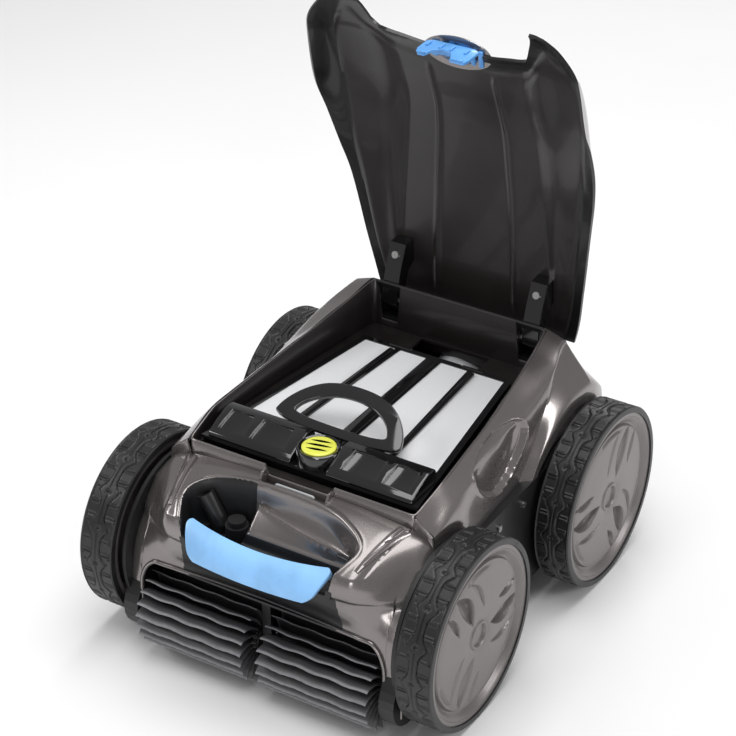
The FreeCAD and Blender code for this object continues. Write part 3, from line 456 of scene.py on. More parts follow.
class Shade:
    """A procedural finish."""

    def __init__(self, name):
        self.material = bpy.data.materials.new(name)
        self.material.use_nodes = True
        self.tree = self.material.node_tree
        self.tree.nodes.clear()
        self.surface = self.node("ShaderNodeBsdfPrincipled")
        end = self.node("ShaderNodeOutputMaterial")
        self.tree.links.new(self.surface.outputs[0], end.inputs["Surface"])
        place = self.node("ShaderNodeTexCoord")
        self.spot = Value(self, place.outputs["Object"])

    def node(self, kind, settings=None, inputs=None):
        """A node with its settings made first, then the values or links of its sockets."""
        made = self.tree.nodes.new(kind)
        for key, value in (settings or {}).items():
            setattr(made, key, value)
        for key, value in (inputs or {}).items():
            if isinstance(value, Value):
                self.tree.links.new(value.socket, made.inputs[key])
            else:
                made.inputs[key].default_value = value
        return made

    def noise(self, size, detail=2.0, roughness=0.5, stretch=None):
        """Cloudy noise from 0 to 1 with grains of about size millimetres."""
        spot = self.spot
        if stretch:
            scaled = self.node(
                "ShaderNodeVectorMath", {"operation": "MULTIPLY"}, {0: spot, 1: stretch}
            )
            spot = Value(self, scaled.outputs[0])
        made = self.node(
            "ShaderNodeTexNoise",
            {},
            {"Vector": spot, "Scale": 1000 / size, "Detail": detail, "Roughness": roughness},
        )
        return Value(self, made.outputs[0])

    def between(self, value, low, high):
        """value from low to high as 0 to 1."""
        made = self.node(
            "ShaderNodeMapRange",
            {"clamp": True, "interpolation_type": "SMOOTHSTEP"},
            {"Value": value, "From Min": low, "From Max": high},
        )
        return Value(self, made.outputs[0])

    def colours(self, mask, one, two):
        """One colour where the mask is 0 and the other where it is 1."""
        made = self.node("ShaderNodeMix", {"data_type": "RGBA"}, {"Factor": mask})
        for socket, colour in ((made.inputs[6], one), (made.inputs[7], two)):
            if isinstance(colour, Value):
                self.tree.links.new(colour.socket, socket)
            else:
                socket.default_value = (*colour, 1)
        return Value(self, made.outputs[2])

    def axes(self):
        """X, Y and Z of a point, in metres."""
        made = self.node("ShaderNodeSeparateXYZ", {}, {0: self.spot})
        return [Value(self, made.outputs[i]) for i in range(3)]

    def bump(self, height, depth, strength=1.0, under=None):
        """A relief of depth millimetres. under is a relief that it lies on."""
        inputs = {"Height": height, "Distance": depth * MM, "Strength": strength}
        if under is not None:
            inputs["Normal"] = under
        made = self.node("ShaderNodeBump", {}, inputs)
        return Value(self, made.outputs[0])

    def set(self, **values):
        """Sets the surface's sockets: two words joined by one underscore name a socket."""
        for key, value in values.items():
            socket = self.surface.inputs[key.replace("_", " ")]
            if isinstance(value, Value):
                self.tree.links.new(value.socket, socket)
            else:
                socket.default_value = value
        return self


def darker(colour, share):
    return tuple(c * share for c in colour)


def metallic_plastic(name, colour, roughness, metallic, coat):
    """Moulded plastic with metal flake, faint flow marks and fine handling marks."""
    shade = Shade(name)
    flake = shade.noise(0.35, 1.0)
    flow = shade.noise(60, 3.0, 0.55, stretch=(1.0, 0.35, 1.0))
    marks = shade.noise(1.2, 4.0, 0.7, stretch=(0.2, 1.0, 1.0))
    base = shade.colours(shade.between(flake, 0.3, 0.75), darker(colour, 0.86), darker(colour, 1.16))
    base = shade.colours(shade.between(flow, 0.35, 0.7) * 0.25, base, darker(colour, 1.25))
    rough = roughness + (flow - 0.5) * 0.06 + shade.between(marks, 0.62, 0.8) * 0.05
    relief = shade.bump(flake, 0.01, 0.15, shade.bump(flow, 0.4, 0.12))
    shade.set(Base_Color=base, Roughness=rough, Normal=relief)
    shade.set(Metallic=metallic, Coat_Weight=coat, Coat_Roughness=0.06)
    return shade.material


def moulded_plastic(name, colour, roughness, grain=0.5, depth=0.05, coat=0.0, scuff=0.3):
    """Plain moulded plastic with a spark-eroded grain and faint rubbing on it."""
    shade = Shade(name)
    texture = shade.noise(grain, 3.0, 0.6)
    cloud = shade.noise(35, 3.0)
    rubbed = shade.between(shade.noise(9, 5.0, 0.7), 0.58, 0.75) * scuff
    base = shade.colours(shade.between(cloud, 0.3, 0.7), darker(colour, 0.88), darker(colour, 1.12))
    base = shade.colours(rubbed, base, tuple(min(c * 1.3 + 0.006, 1) for c in colour))
    rough = roughness + (texture - 0.5) * 0.10 + rubbed * 0.12
    shade.set(Base_Color=base, Roughness=rough, Normal=shade.bump(texture, depth, 0.5))
    shade.set(Coat_Weight=coat, Coat_Roughness=0.05)
    return shade.material


def tyre_rubber(name, colour):
    """Moulded rubber: satin, finely grained, greyer in cloudy patches of dust."""
    shade = Shade(name)
    grain = shade.noise(0.6, 3.0, 0.6)
    cloud = shade.noise(22, 4.0, 0.6)
    dust = shade.between(cloud, 0.52, 0.72) * 0.35
    base = shade.colours(dust, colour, tuple(c * 1.8 + 0.008 for c in colour))
    rough = 0.36 + grain * 0.12 + dust * 0.25
    relief = shade.bump(grain, 0.06, 0.5, shade.bump(cloud, 0.25, 0.2))
    shade.set(Base_Color=base, Roughness=rough, Normal=relief)
    shade.set(Specular_IOR_Level=0.55)
    return shade.material


def brush_rubber(name, colour, back, height, radius):
    """Soft blades: painted shade makes them darker at the root, and a painted highlight makes them paler
    towards the thin tips.
    """
    shade = Shade(name)
    _, y, z = shade.axes()
    reach = ((y - back) ** 2 + (z - height) ** 2) ** 0.5
    # tip: a painted highlight, paler where the thin translucent blade tips catch the light
    tip = shade.between(reach, radius * 0.93, radius * 0.995)
    # root_shade: painted shade, darkest near the core where the blades crowd together
    root_shade = shade.between(reach, radius * 0.42, radius * 0.85)
    streak = shade.noise(5, 4.0, 0.6, stretch=(0.15, 1.0, 1.0))
    # painted shade at the root of the blades
    base = shade.colours(root_shade, darker(colour, 0.45), colour)
    # painted highlight at the blade tips
    base = shade.colours(tip * 0.8, base, darker(colour, 4.5))
    base = shade.colours(shade.between(streak, 0.45, 0.7) * 0.3, base, darker(colour, 1.7))
    grain = shade.noise(0.8, 2.0)
    shade.set(Base_Color=base, Roughness=0.34 + streak * 0.22, Normal=shade.bump(grain, 0.05, 0.4))
    shade.set(Specular_IOR_Level=0.6)
    return shade.material


def woven_screen(name, colour):
    """Fine mesh cloth: crossed threads, with a little silt between them."""
    shade = Shade(name)
    threads = []
    for direction in ("X", "Y"):
        made = shade.node(
            "ShaderNodeTexWave",
            {"bands_direction": direction, "wave_profile": "SIN"},
            {"Vector": shade.spot, "Scale": 500.0, "Distortion": 0.4, "Detail": 1.0},
        )
        threads.append(Value(shade, made.outputs["Fac"]))
    weave = threads[0] * 0.5 + threads[1] * 0.5
    silt = shade.noise(40, 4.0, 0.6)
    base = shade.colours(shade.between(weave, 0.15, 0.7), darker(colour, 0.84), colour)
    base = shade.colours(shade.between(silt, 0.45, 0.75) * 0.3, base, darker(colour, 0.9))
    shade.set(Base_Color=base, Roughness=0.62 + weave * 0.2, Normal=shade.bump(weave, 0.12, 0.5))
    return shade.material


def turned_metal(name, colour, roughness):
    """Steel with fine turning marks round the X axis and a few dull spots."""
    shade = Shade(name)
    lines = shade.noise(0.6, 2.0, 0.5, stretch=(6.0, 0.4, 0.4))
    spots = shade.between(shade.noise(6, 4.0, 0.65), 0.6, 0.75)
    base = shade.colours(lines, darker(colour, 0.85), darker(colour, 1.1))
    base = shade.colours(spots * 0.4, base, darker(colour, 0.6))
    shade.set(Base_Color=base, Roughness=roughness + lines * 0.12 + spots * 0.15)
    shade.set(Metallic=1.0, Normal=shade.bump(lines, 0.02, 0.4))
    return shade.material


def circuit_green(name, colour):
    """Lacquered board with pale tracks and tinned pads."""
    shade = Shade(name)
    made = shade.node(
        "ShaderNodeTexBrick",
        {},
        {"Vector": shade.spot, "Scale": 220.0, "Mortar Size": 0.03, "Bias": -0.4},
    )
    tracks = Value(shade, made.outputs["Fac"])
    spots = shade.between(shade.noise(2.2, 1.0), 0.66, 0.7)
    base = shade.colours(tracks, colour, darker(colour, 2.0))
    base = shade.colours(spots, base, (0.5, 0.48, 0.42))
    shade.set(Base_Color=base, Roughness=0.3 + spots * 0.2, Normal=shade.bump(tracks, 0.05, 0.5))
    return shade.material


def floor_paint(name, colour):
    """Pale seamless floor with the faintest mottling."""
    shade = Shade(name)
    cloud = shade.noise(400, 3.0)
    base = shade.colours(shade.between(cloud, 0.3, 0.7), darker(colour, 0.985), colour)
    shade.set(Base_Color=base, Roughness=0.75 + cloud * 0.1)
    shade.set(Specular_IOR_Level=0.2)
    return shade.material


FINISHES = {}


def finish(name):
    """The finish called name, made from the colours in the panel when it is first used."""
    if name not in FINISHES:
        FINISHES[name] = make_finish(name, bpy.context.scene.cleaner_colours)
    return FINISHES[name]


def make_finish(name, colours):
    sizes = bpy.context.scene.cleaner_sizes
    black = tuple(colours.trim)
    makers = {
        "shell": lambda: metallic_plastic("shell_bronze", tuple(colours.shell), 0.24, 0.75, 0.55),
        "wheel": lambda: metallic_plastic("wheel_bronze", tuple(colours.wheel), 0.38, 0.55, 0.15),
        "tyre": lambda: tyre_rubber("tyre_rubber", tuple(colours.tyre)),
        "blades": lambda: brush_rubber(
            "blade_rubber",
            tuple(colours.blades),
            -sizes.brush_back,
            sizes.brush_height,
            sizes.blade_radius,
        ),
        "gloss": lambda: moulded_plastic("gloss_black", black, 0.09, 0.8, 0.01, 0.8, 0.12),
        "band": lambda: moulded_plastic("lid_band", darker(black, 1.3), 0.3, 0.5, 0.03, 0.25),
        "trim": lambda: moulded_plastic("matte_black", darker(black, 1.5), 0.42, 0.5, 0.05),
        "gear": lambda: moulded_plastic("gear_plastic", darker(black, 3.5), 0.5, 0.4, 0.04),
        "inside": lambda: moulded_plastic(
            "lid_inside", tuple(colours.inside), 0.36, 0.45, 0.03, 0.15, 0.2
        ),
        "well": lambda: moulded_plastic(
            "well_brown", darker(tuple(colours.inside), 0.9), 0.34, 0.6, 0.03, 0.2, 0.2
        ),
        "grip": lambda: moulded_plastic(
            "grip_blue", tuple(colours.grip), 0.36, 0.5, 0.03, 0.15, 0.08
        ),
        "latch": lambda: moulded_plastic(
            "latch_blue", tuple(colours.latch), 0.32, 0.5, 0.03, 0.2, 0.1
        ),
        "screen": lambda: woven_screen("screen_cloth", tuple(colours.screen)),
        "button": lambda: moulded_plastic(
            "button_yellow", tuple(colours.button), 0.34, 0.5, 0.02, 0.2, 0.1
        ),
        "tube": lambda: moulded_plastic("tube_grey", (0.42, 0.43, 0.44), 0.3, 0.8, 0.02, 0.3),
        "steel": lambda: turned_metal("steel", (0.62, 0.61, 0.6), 0.22),
        "motor": lambda: turned_metal("motor_can", (0.42, 0.42, 0.43), 0.32),
        "board": lambda: circuit_green("board_green", (0.015, 0.11, 0.05)),
        "floor": lambda: floor_paint("floor", tuple(colours.floor)),
    }
    return makers[name]()


# ------------------------------------------------------------------ settings


def length(label, text, default, low=0.0, high=1.0):
    """A panel setting for a length: shown in metres, given here in millimetres."""
    return bpy.props.FloatProperty(
        name=label,
        description=text,
        default=default * MM,
        min=low * MM,
        max=high * 1000 * MM,
        subtype="DISTANCE",
        unit="LENGTH",
        precision=4,
    )


def tint(label, text, default):
    """A panel setting for a colour."""
    return bpy.props.FloatVectorProperty(
        name=label, description=text, default=default, min=0, max=1, size=3, subtype="COLOR"
    )


class CleanerSizes(bpy.types.PropertyGroup):
    """Sizes of the cleaner's visible pieces."""

    wheel_radius: length("Wheel radius", "Radius over the tyre's tread", 100)
    tyre_inner: length("Tyre's inner face", "Distance from the middle to the tyre", 166.5)
    tyre_outer: length("Tyre's outer face", "Distance from the middle to the outer face", 206.5)
    rim_radius: length("Rim radius", "Radius of the seat that the tyre sits on", 92.9)
    tread_depth: length("Tread depth", "Depth of the tyre's pattern", 1.9)
    tread_bosses: bpy.props.IntProperty(
        name="Tread bosses", description="Round bosses along the tread", default=16, min=6, max=24
    )
    axle_back: length("Axle distance", "Distance of each axle from mid-length", 139.2)
    axle_height: length("Axle height", "Height of the axles over the floor", 100)
    brush_back: length("Brush axis, front", "Distance of the brushes' axis in front", 196.62)
    brush_height: length("Brush axis height", "Height of the brushes' axis", 49)
    blade_radius: length("Blade reach", "Radius over the blades' tips", 45.9)
    blade_count: bpy.props.IntProperty(
        name="Blades", description="Blades round each brush", default=22, min=6, max=24
    )
    shell_wall: length("Shell wall", "Thickness of the moulded skins", 3)
    lid_wall: length("Lid wall", "Thickness of the lid", 3.2)
    hinge_back: length("Hinge distance", "Distance of the lid's hinge behind the middle", 178)
    hinge_height: length("Hinge height", "Height of the lid's hinge", 236)
    button_radius: length("Button radius", "Radius of the release button", 17.6)


class CleanerColours(bpy.types.PropertyGroup):
    """Colours of the cleaner's materials."""

    shell: tint("Shell", "Body mouldings", (0.222, 0.202, 0.197))
    wheel: tint("Wheels", "Wheel discs", (0.190, 0.174, 0.170))
    tyre: tint("Tyres", "Rubber tyres", (0.009, 0.009, 0.010))
    blades: tint("Blades", "Brush blades", (0.060, 0.060, 0.063))
    trim: tint("Trim", "Black mouldings", (0.006, 0.006, 0.0065))
    inside: tint("Inside", "Inside of the lid and rim", (0.0150, 0.0120, 0.0115))
    grip: tint("Grip", "Carrying handle", (0.270, 0.550, 0.930))
    latch: tint("Latch", "Lid latch", (0.115, 0.370, 0.820))
    screen: tint("Screen", "Filter cloth", (0.78, 0.79, 0.80))
    button: tint("Button", "Release button", (0.78, 0.80, 0.10))
    floor: tint("Floor", "Studio floor", (0.93, 0.93, 0.93))


def size(name):
    """A length from the panel, in millimetres."""
    return getattr(bpy.context.scene.cleaner_sizes, name) / MM


# ------------------------------------------------------------------ outlines of the body

# The body's cross-sections behind the front panel. Each row is y and then half width and height
# of the rim's edge, shoulder, cheek, crease, side edge and lower edge.
SIDE_ROWS = (
    (-142.5, (133.4, 216), (146, 205), (152.5, 199), (155, 192), (156.5, 184), (157, 174)),
    (-96, (136.2, 228), (148, 211), (153, 199), (156, 186), (158, 172), (158.5, 158)),
    (-50, (133, 232), (147, 212), (150.5, 188), (154, 158), (157, 135), (157.5, 122)),
    (0, (129, 236), (146, 212), (148.5, 178), (151.5, 128), (154, 114), (154, 108)),
    (16, (127.3, 237.7), (145.5, 214), (147.8, 180), (150.5, 124), (155, 114), (156, 107)),
    (30, (126, 239), (144.5, 218), (147, 190), (149.5, 150), (158, 126), (159, 114)),
    (45, (124, 240.8), (143.6, 222), (147.5, 200), (149.8, 168), (160, 156), (160.5, 140)),
    (60, (122, 242.4), (142.5, 226), (147, 207), (150, 184), (160.5, 176), (161, 164)),
    (98, (117.7, 248), (139, 237), (143, 230), (147, 221), (161, 198), (161.5, 182)),
    (130, (113.4, 252), (133.5, 244.5), (136, 243), (138.5, 240), (161, 207), (161.5, 184)),
    (170, (107.6, 260), (124, 254), (127, 252.5), (130, 250), (161, 206), (161.5, 188)),
    (176, (106, 247), (123, 243), (127, 241), (131, 239), (161, 204), (161.5, 187)),
    (200, (100, 214), (116, 211), (122, 209), (128, 206), (158, 190), (159, 178)),
    (237, (88, 146), (100, 143.5), (106, 141), (112, 138), (140, 112), (141, 104)),
)
CRESCENT = ((54, 229), (9, 232.6), (-43, 227), (-56.5, 214), (-52, 197.5), (-27.5, 177))
CRESCENT += ((-6, 168.6), (29, 182), (53, 206))

# The front wall: for each half width, y at each of these heights.
WALL_HEIGHTS = (31, 83, 113, 135, 150, 153, 165, 178, 186)
WALL_COLUMNS = (
    (0, (-210, -209, -207, -216, -220.5, -223.5, -225, -221.5, -219)),
    (60, (-212, -211, -209, -217, -220.5, -223.5, -225, -221.5, -219)),
    (105, (-214, -213, -213, -216.5, -218.5, -221, -223.5, -220, -216)),
    (125, (-216, -216, -215.5, -213, -211, -213, -210, -202, -197)),
    (145, (-218.5, -217.5, -215, -206, -198, -199, -190, -179.5, -173)),
    (156, (-218, -217, -212, -202, -191, -191, -182, -170, -163)),
    (163, (-215, -213, -206, -195, -183, -183, -174, -161, -154)),
)


def wall_back(x, z):
    """y of the front wall at a half width and a height."""
    keys = [half for half, _ in WALL_COLUMNS]
    columns = np.stack([spline(WALL_HEIGHTS, row, z) for _, row in WALL_COLUMNS])
    return np.array([spline(keys, columns[:, i], [abs(v)])[0] for i, v in enumerate(x)])


def crest_back(x):
    """y of the crease between the front wall and the top, 178 above the floor."""
    return wall_back(x, np.full(len(x), 178.0))


POCKET = ((101, -196), (97, -186), (85, -177), (55, -164), (20, -160.5), (-25, -160.5))
POCKET += ((-60, -164), (-86, -173), (-99, -186), (-102, -197), (-95, -212), (-84, -232))
POCKET += ((84, -232), (93, -212))


def top_height(x, y, progress):
    """The height of the front's top surface before the pocket is sunk."""
    rear = spline((0, 60, 100, 132, 147, 157, 163), (207.5, 206, 203, 199, 194, 184, 176), abs(x))
    rise = 1 - (1 - progress) ** 2.1
    height = 178 + (rear - 178) * rise
    seam = 130 + (y + 143.5) * 0.213
    gap = abs(x) - seam
    return height - 1.2 * np.exp(-((gap / 1.6) ** 2))


def sink_pocket(x, y, height):
    """Lowers the top's surface into the pocket behind the carrying handle."""
    gap = outline_distance(rounded(POCKET), x, y)
    lip = 1.8 * np.exp(-(((gap - 1.5) / 2.6) ** 2))
    scoop_front = spline((-45, -10, 30, 70, 97), (-164, -174, -181, -185.5, -187), x)
    scoop_low = spline((-45, 0, 60, 97), (188, 181, 176, 176), x)
    back = spline((-45, -20, 20, 55, 85, 97), (-161, -160.5, -160.5, -164, -177, -187), x)
    share = np.clip((y - scoop_front) / np.maximum(back - scoop_front, 2), 0, 1.2)
    scoop = scoop_low + (height - scoop_low) * np.clip(share, 0, 1) ** 1.7
    scoop -= 7.0 * np.sin(math.pi * np.clip(share, 0, 1)) ** 1.2
    bead = 1.4 * np.exp(-(((y - scoop_front) / 1.8) ** 2))
    panel = spline((-200, -195, -189.5, -187), (152.5, 153.5, 165, 166.5), y)
    climb = np.clip((y + 187) / np.maximum(scoop_front + 187, 2), 0, 1) * (y > -187)
    front_panel = panel + (scoop_low - 166.5) * climb
    right = np.where(y > scoop_front, scoop, front_panel) + bead
    blend = ease(-42, -30, x)
    floor = 152.5 * (1 - blend) + right * blend
    slope = spline((-45, -30), (9.0, 4.0), x)
    inside = 1 - ease(0, 1, (gap + slope) / slope)
    sunk = height * (1 - inside) + np.minimum(height, floor) * inside
    return sunk + lip * (1 - inside)


def front_grid():
    """The front panel, its shoulders and the wall below, as one sheet of points."""
    half = np.concatenate(
        [np.linspace(0, 107, 102), np.linspace(109, 148, 28), [151, 154, 157, 160, 162.4]]
    )
    x = np.concatenate([-half[:0:-1], half])
    crest = crest_back(x)
    progress = np.linspace(1, 0, 84)[:, None]
    y = crest + progress * (-143.2 - crest)
    across = np.broadcast_to(x, y.shape)
    height = top_height(across, y, progress)
    height = sink_pocket(across, y, height)
    latch_space = ease(38.6, 37.2, abs(across)) * ease(-156.2, -155, y)
    height = height - latch_space * np.maximum(height - 187.5, 0)
    top = np.stack([across, y, height], 2)
    low = spline((0, 95, 124, 134, 141, 143.6, 144.4, 163), (107, 108.5, 111, 106, 94, 83, 31, 31), abs(x))
    share = np.linspace(0, 1, 36)[1:, None]
    z = 178 + share * (low - 178)
    wall_y = np.stack([wall_back(x, row) for row in z])
    wall = np.stack([np.broadcast_to(x, z.shape), wall_y, z], 2)
    sheet = np.concatenate([top, wall])
    edge = len(top) - 1
    for _ in range(2):
        near = slice(edge - 2, edge + 3)
        before = sheet[edge - 3 : edge + 2]
        after = sheet[edge - 1 : edge + 4]
        sheet[near] = (before + after) / 4 + sheet[near] / 2
    notch = 151 + 40 * ease(83, 92, abs(sheet[..., 0]))
    ahead = sheet[..., 1] < -200
    sheet[..., 2] = np.where(ahead, np.minimum(sheet[..., 2], notch), sheet[..., 2])
    return sheet


def seam_wedge(side):
    """The long thin pair of ridges over the seam between the front panel and a shoulder."""
    share = np.linspace(0, 1, 60)
    lifts = ((0, -0.8), (0.1, 1.6), (0.24, 1.9), (0.42, -0.2))
    lifts += ((0.58, -0.4), (0.78, 1.9), (0.9, 1.7), (1, -0.8))
    rows = []
    for across, lift in lifts:
        near = 118.5 + (107.6 - 118.5) * share
        far = 130.8 + (109.6 - 130.8) * share
        x = near + (far - near) * across
        y = -148.5 - 62 * share
        crest = crest_back(x)
        progress = np.clip((y - crest) / (-143.2 - crest), 0, 1)
        z = top_height(x, y, progress) + lift * (1 - 0.6 * share)
        rows.append(np.stack([side * x, y, z], 1))
    return np.array(rows)


def arch_path():
    """The lip round the brushes' opening, from one foot over the top to the other."""
    half = [(144.2, 34), (144.2, 60), (144, 82), (141.5, 94)]
    half += [(135, 105), (125, 110.5), (100, 108.6), (60, 107.4)]
    right = np.array(half, float)
    x = np.concatenate([right[:, 0], [0], -right[::-1, 0]])
    z = np.concatenate([right[:, 1], [107], right[::-1, 1]])
    steps = np.arange(len(x))
    fine = np.linspace(0, len(x) - 1, 180)
    x, z = spline(steps, x, fine), spline(steps, z, fine)
    return np.stack([x, wall_back(x, z) - 0.6, z], 1)


def side_grid():
    """One side of the body from the rim's edge down to its lower edge."""
    keys = [row[0] for row in SIDE_ROWS]
    table = np.array([[v for pair in row[1:] for v in pair] for row in SIDE_ROWS], float)
    along = np.concatenate([np.linspace(-142.9, 168, 250), np.linspace(169.5, 237, 40)])
    rows = spline(keys, table, along).reshape(len(along), 6, 2)
    upper = np.linspace(0, 3, 60)
    lower = np.linspace(0, 2, 22)[1:]
    grid = []
    for y, row in zip(along, rows):
        top = spline((0, 1, 2, 3), row[:4], upper)
        low = spline((0, 1, 2), row[3:], lower)
        section = np.concatenate([top, low])
        bulge = np.zeros(len(section))
        bulge[: len(top)] = 2.2 * np.sin(math.pi * upper / 3)
        grid.append(np.stack([section[:, 0] + bulge, np.full(len(section), y), section[:, 1]], 1))
    grid = np.array(grid)
    gap = outline_distance(rounded(CRESCENT, 2), grid[..., 1], grid[..., 2])
    depth = 5.6 * ease(0, 4.6, -gap) + 1.8 * ease(4, 16, -gap)
    grid[..., 0] -= depth
    grid[..., 0] += 0.8 * np.exp(-(((gap - 1.0) / 1.6) ** 2))
    grid[..., 0] = np.minimum(grid[..., 0], 163.2)
    return grid


def rim_ring():
    """The raised wall round the filter's opening."""
    right = [(133.4, -142.6, 216), (136.2, -96, 228), (129, 0, 236), (121, 70, 243.5), (113.5, 128, 252)]
    right += [(107.6, 170, 260)]
    corners = right + [(-x, y, z) for x, y, z in reversed(right)]
    path = []
    for start, end in zip(corners, corners[1:] + corners[:1]):
        start, end = np.array(start, float), np.array(end, float)
        count = max(int(np.linalg.norm(end - start) / 4), 2)
        path += [start + (end - start) * i / count for i in range(count)]
    path = np.array(path)
    for _ in range(3):
        path[:, :2] = (np.roll(path, 1, 0) + np.roll(path, -1, 0) + 2 * path)[:, :2] / 4
    dips = ease(71, 73, abs(path[:, 0])) * (1 - ease(98, 100, abs(path[:, 0]))) * (path[:, 1] > 164)
    path[:, 2] -= dips * (path[:, 2] - 214)
    notch = (abs(path[:, 0]) < 37) & (path[:, 1] < -140)
    path[notch, 2] = 205
    along = np.roll(path, -1, 0) - np.roll(path, 1, 0)
    inward = np.stack([-along[:, 1], along[:, 0]], 1)
    inward /= np.linalg.norm(inward, axis=1, keepdims=True)
    steps = ((0, 190), (0, -1.0), (0.9, 0), (2.1, 0), (3.0, -1.0), (3.0, 196))
    points = []
    for (x, y, z), (nx, ny) in zip(path, inward):
        for inset, height in steps:
            at = height if height > 100 else z + height
            points.append((x + nx * inset, y + ny * inset, at))
    faces = grid_faces(len(path), len(steps), close_rows=True, close_columns=True)
    marks = [1 if i % len(steps) in (3, 4, 5) else 0 for i in range(len(faces))]
    return np.array(points), faces, marks


# ------------------------------------------------------------------ the lid

LID_ROWS = (
    (-200, (117, 187), (104, 191), (90, 191)),
    (-187, (134, 191), (112, 202), (85, 204)),
    (-157, (153, 194), (131, 215), (80, 219)),
    (-142, (154, 197), (138.5, 222), (76, 231)),
    (-96, (156, 206), (142, 234), (72, 248)),
    (-74, (158, 214), (141, 238), (72, 256)),
    (-40, (156, 228), (139, 242), (76, 264)),
    (0, (151, 240), (136, 246), (80, 266)),
    (37, (144, 249), (132, 252), (84, 267)),
    (120, (132, 259), (122, 261), (90, 267)),
    (170, (124, 265), (113, 266), (92, 267)),
    (188, (120, 266), (108, 266), (92, 267)),
)
OPEN_ANGLE = math.radians(87)


def opened(points):
    """Swings points of the shut lid open about its hinge."""
    points = np.array(points, float)
    y = points[..., 1] - size("hinge_back")
    z = points[..., 2] - size("hinge_height")
    points[..., 1] = size("hinge_back") + y * math.cos(OPEN_ANGLE) + z * math.sin(OPEN_ANGLE)
    points[..., 2] = size("hinge_height") - y * math.sin(OPEN_ANGLE) + z * math.cos(OPEN_ANGLE)
    return points


def notch_front(x):
    """y of the lid's front edge: a wide notch between two horns."""
    return spline((0, 34, 60, 84, 94, 101), (-142.5, -142.8, -147, -154, -176, -197), abs(x))


def lid_section(along):
    """The lid's inside surface, a row of points for each y. It runs across from side to side."""
    keys = [row[0] for row in LID_ROWS]
    table = np.array([[v for pair in row[1:] for v in pair] for row in LID_ROWS], float)
    rows = spline(keys, table, along).reshape(len(along), 3, 2)
    share = np.concatenate([np.linspace(0, 1, 10), np.linspace(1, 2, 12)[1:]])
    grid = []
    for y, (edge, shoulder, crown) in zip(along, rows):
        half = spline((0, 1, 2), (edge, shoulder, crown), share)
        middle = np.linspace(crown[0], -crown[0], 100)[1:-1]
        inner = np.stack([middle, np.full(len(middle), crown[1])], 1)
        line = np.concatenate([half, inner, half[::-1] * (-1, 1)])
        grid.append(np.stack([line[:, 0], np.full(len(line), y), line[:, 1]], 1))
    return np.array(grid)


def lid_grid(first=-198.0, last=188.0, rows=110):
    """The lid's inside surface, with its front edge drawn back into the notch."""
    grid = lid_section(np.linspace(first, last, rows))
    share = np.linspace(0, 1, rows)
    fitted = np.empty_like(grid)
    for column in range(grid.shape[1]):
        x_guess = grid[8, column, 0]
        for _ in range(4):
            begin = float(notch_front(np.array([x_guess]))[0]) if abs(x_guess) < 101 else first
            x_guess = np.interp(begin, grid[:, column, 1], grid[:, column, 0])
        y = begin + share * (last - begin)
        fitted[:, column, 0] = np.interp(y, grid[:, column, 1], grid[:, column, 0])
        fitted[:, column, 1] = y
        fitted[:, column, 2] = np.interp(y, grid[:, column, 1], grid[:, column, 2])
    return fitted


# ------------------------------------------------------------------ operators


class CLEANER_OT_front(bpy.types.Operator):
    """Builds the front panel with its pocket, the wall round the brushes and the latch box"""

    bl_idname = "cleaner.front"
    bl_label = "Front panel"

    def execute(self, context):
        shell = finish("shell")
        wall = size("shell_wall")
        sheet = front_grid()
        panel = skin("front_panel", sheet, wall, [shell, finish("trim")], 1, crease=32)
        panel.data.polygons.foreach_set("material_index", self.black_parts_and_slot_shade(panel.data.polygons))
        place(panel, "chassis", "shell", "front_hood")
        lip = swept(arch_path(), 2.3, 12)
        place(add_object("brush_arch_lip", *lip, [shell]), "chassis", "shell")
        for name, side in SIDES:
            wedge = skin(f"seam_ridges_{name}", seam_wedge(side), side * 1.5, [shell], crease=50)
            place(wedge, "chassis", "shell")
            step = ((129, 196), (147, 191), (156.3, 181), (156, 187), (153.4, 199), (147, 206), (134, 215))
            outline = [(side * x, z) for x, z in step]
            block = add_object(f"shoulder_step_{name}", *prism(outline, -145.0, -141.2, axis=1), [shell])
            place(softened(block, 1.2), "chassis", "shell")
        self.latch_box(shell)
        return {"FINISHED"}

    @staticmethod
    def black_parts_and_slot_shade(faces):
        """1 for the inner side, the left end of the pocket and its slot, 0 for the rest. The slot's floor
        is painted black as painted shade for the deep finger gap behind the handle.
        """
        marks = np.empty(len(faces), dtype=np.int32)
        faces.foreach_get("material_index", marks)
        centres = np.empty(len(faces) * 3)
        faces.foreach_get("center", centres)
        x, y, z = centres.reshape(-1, 3).T / MM
        within = outline_distance(rounded(POCKET), x, y) < 0
        # slot: painted shade, the floor of the finger gap behind the handle is painted black
        slot = (z < 163) & (y < -189)
        return np.where(within & ((x < -36) | slot), 1, marks).astype(np.int32)

    @staticmethod
    def latch_box(shell):
        cheek = ((-158, 184), (-158, 200.5), (-149.5, 212.5), (-142.6, 212.5), (-142.6, 184))
        parts = [prism(cheek, side * 37.4, side * 40.2, axis=0) for _, side in SIDES]
        box = add_object("latch_box", *joined(*parts), [shell])
        place(softened(box, 0.7), "chassis", "shell")
        front = prism(((-158, 184), (-158, 200), (-155.4, 200), (-155.4, 184)), -37.6, 37.6, axis=0)
        floor = prism(((-156, 184), (-156, 188.5), (-142.6, 188.5), (-142.6, 184)), -37.6, 37.6, axis=0)
        tray = add_object("latch_box_wall", *joined(front, floor), [shell])
        place(softened(tray, 0.7), "chassis", "shell")
        tab = ((-20, 199), (-20, 207), (-18, 208.4), (24, 208.4), (26, 207), (26, 199))
        keeper = add_object("latch_keeper", *prism(tab, -156.2, -154, axis=1), [finish("tube")])
        place(softened(keeper, 0.6), "chassis", "shell")


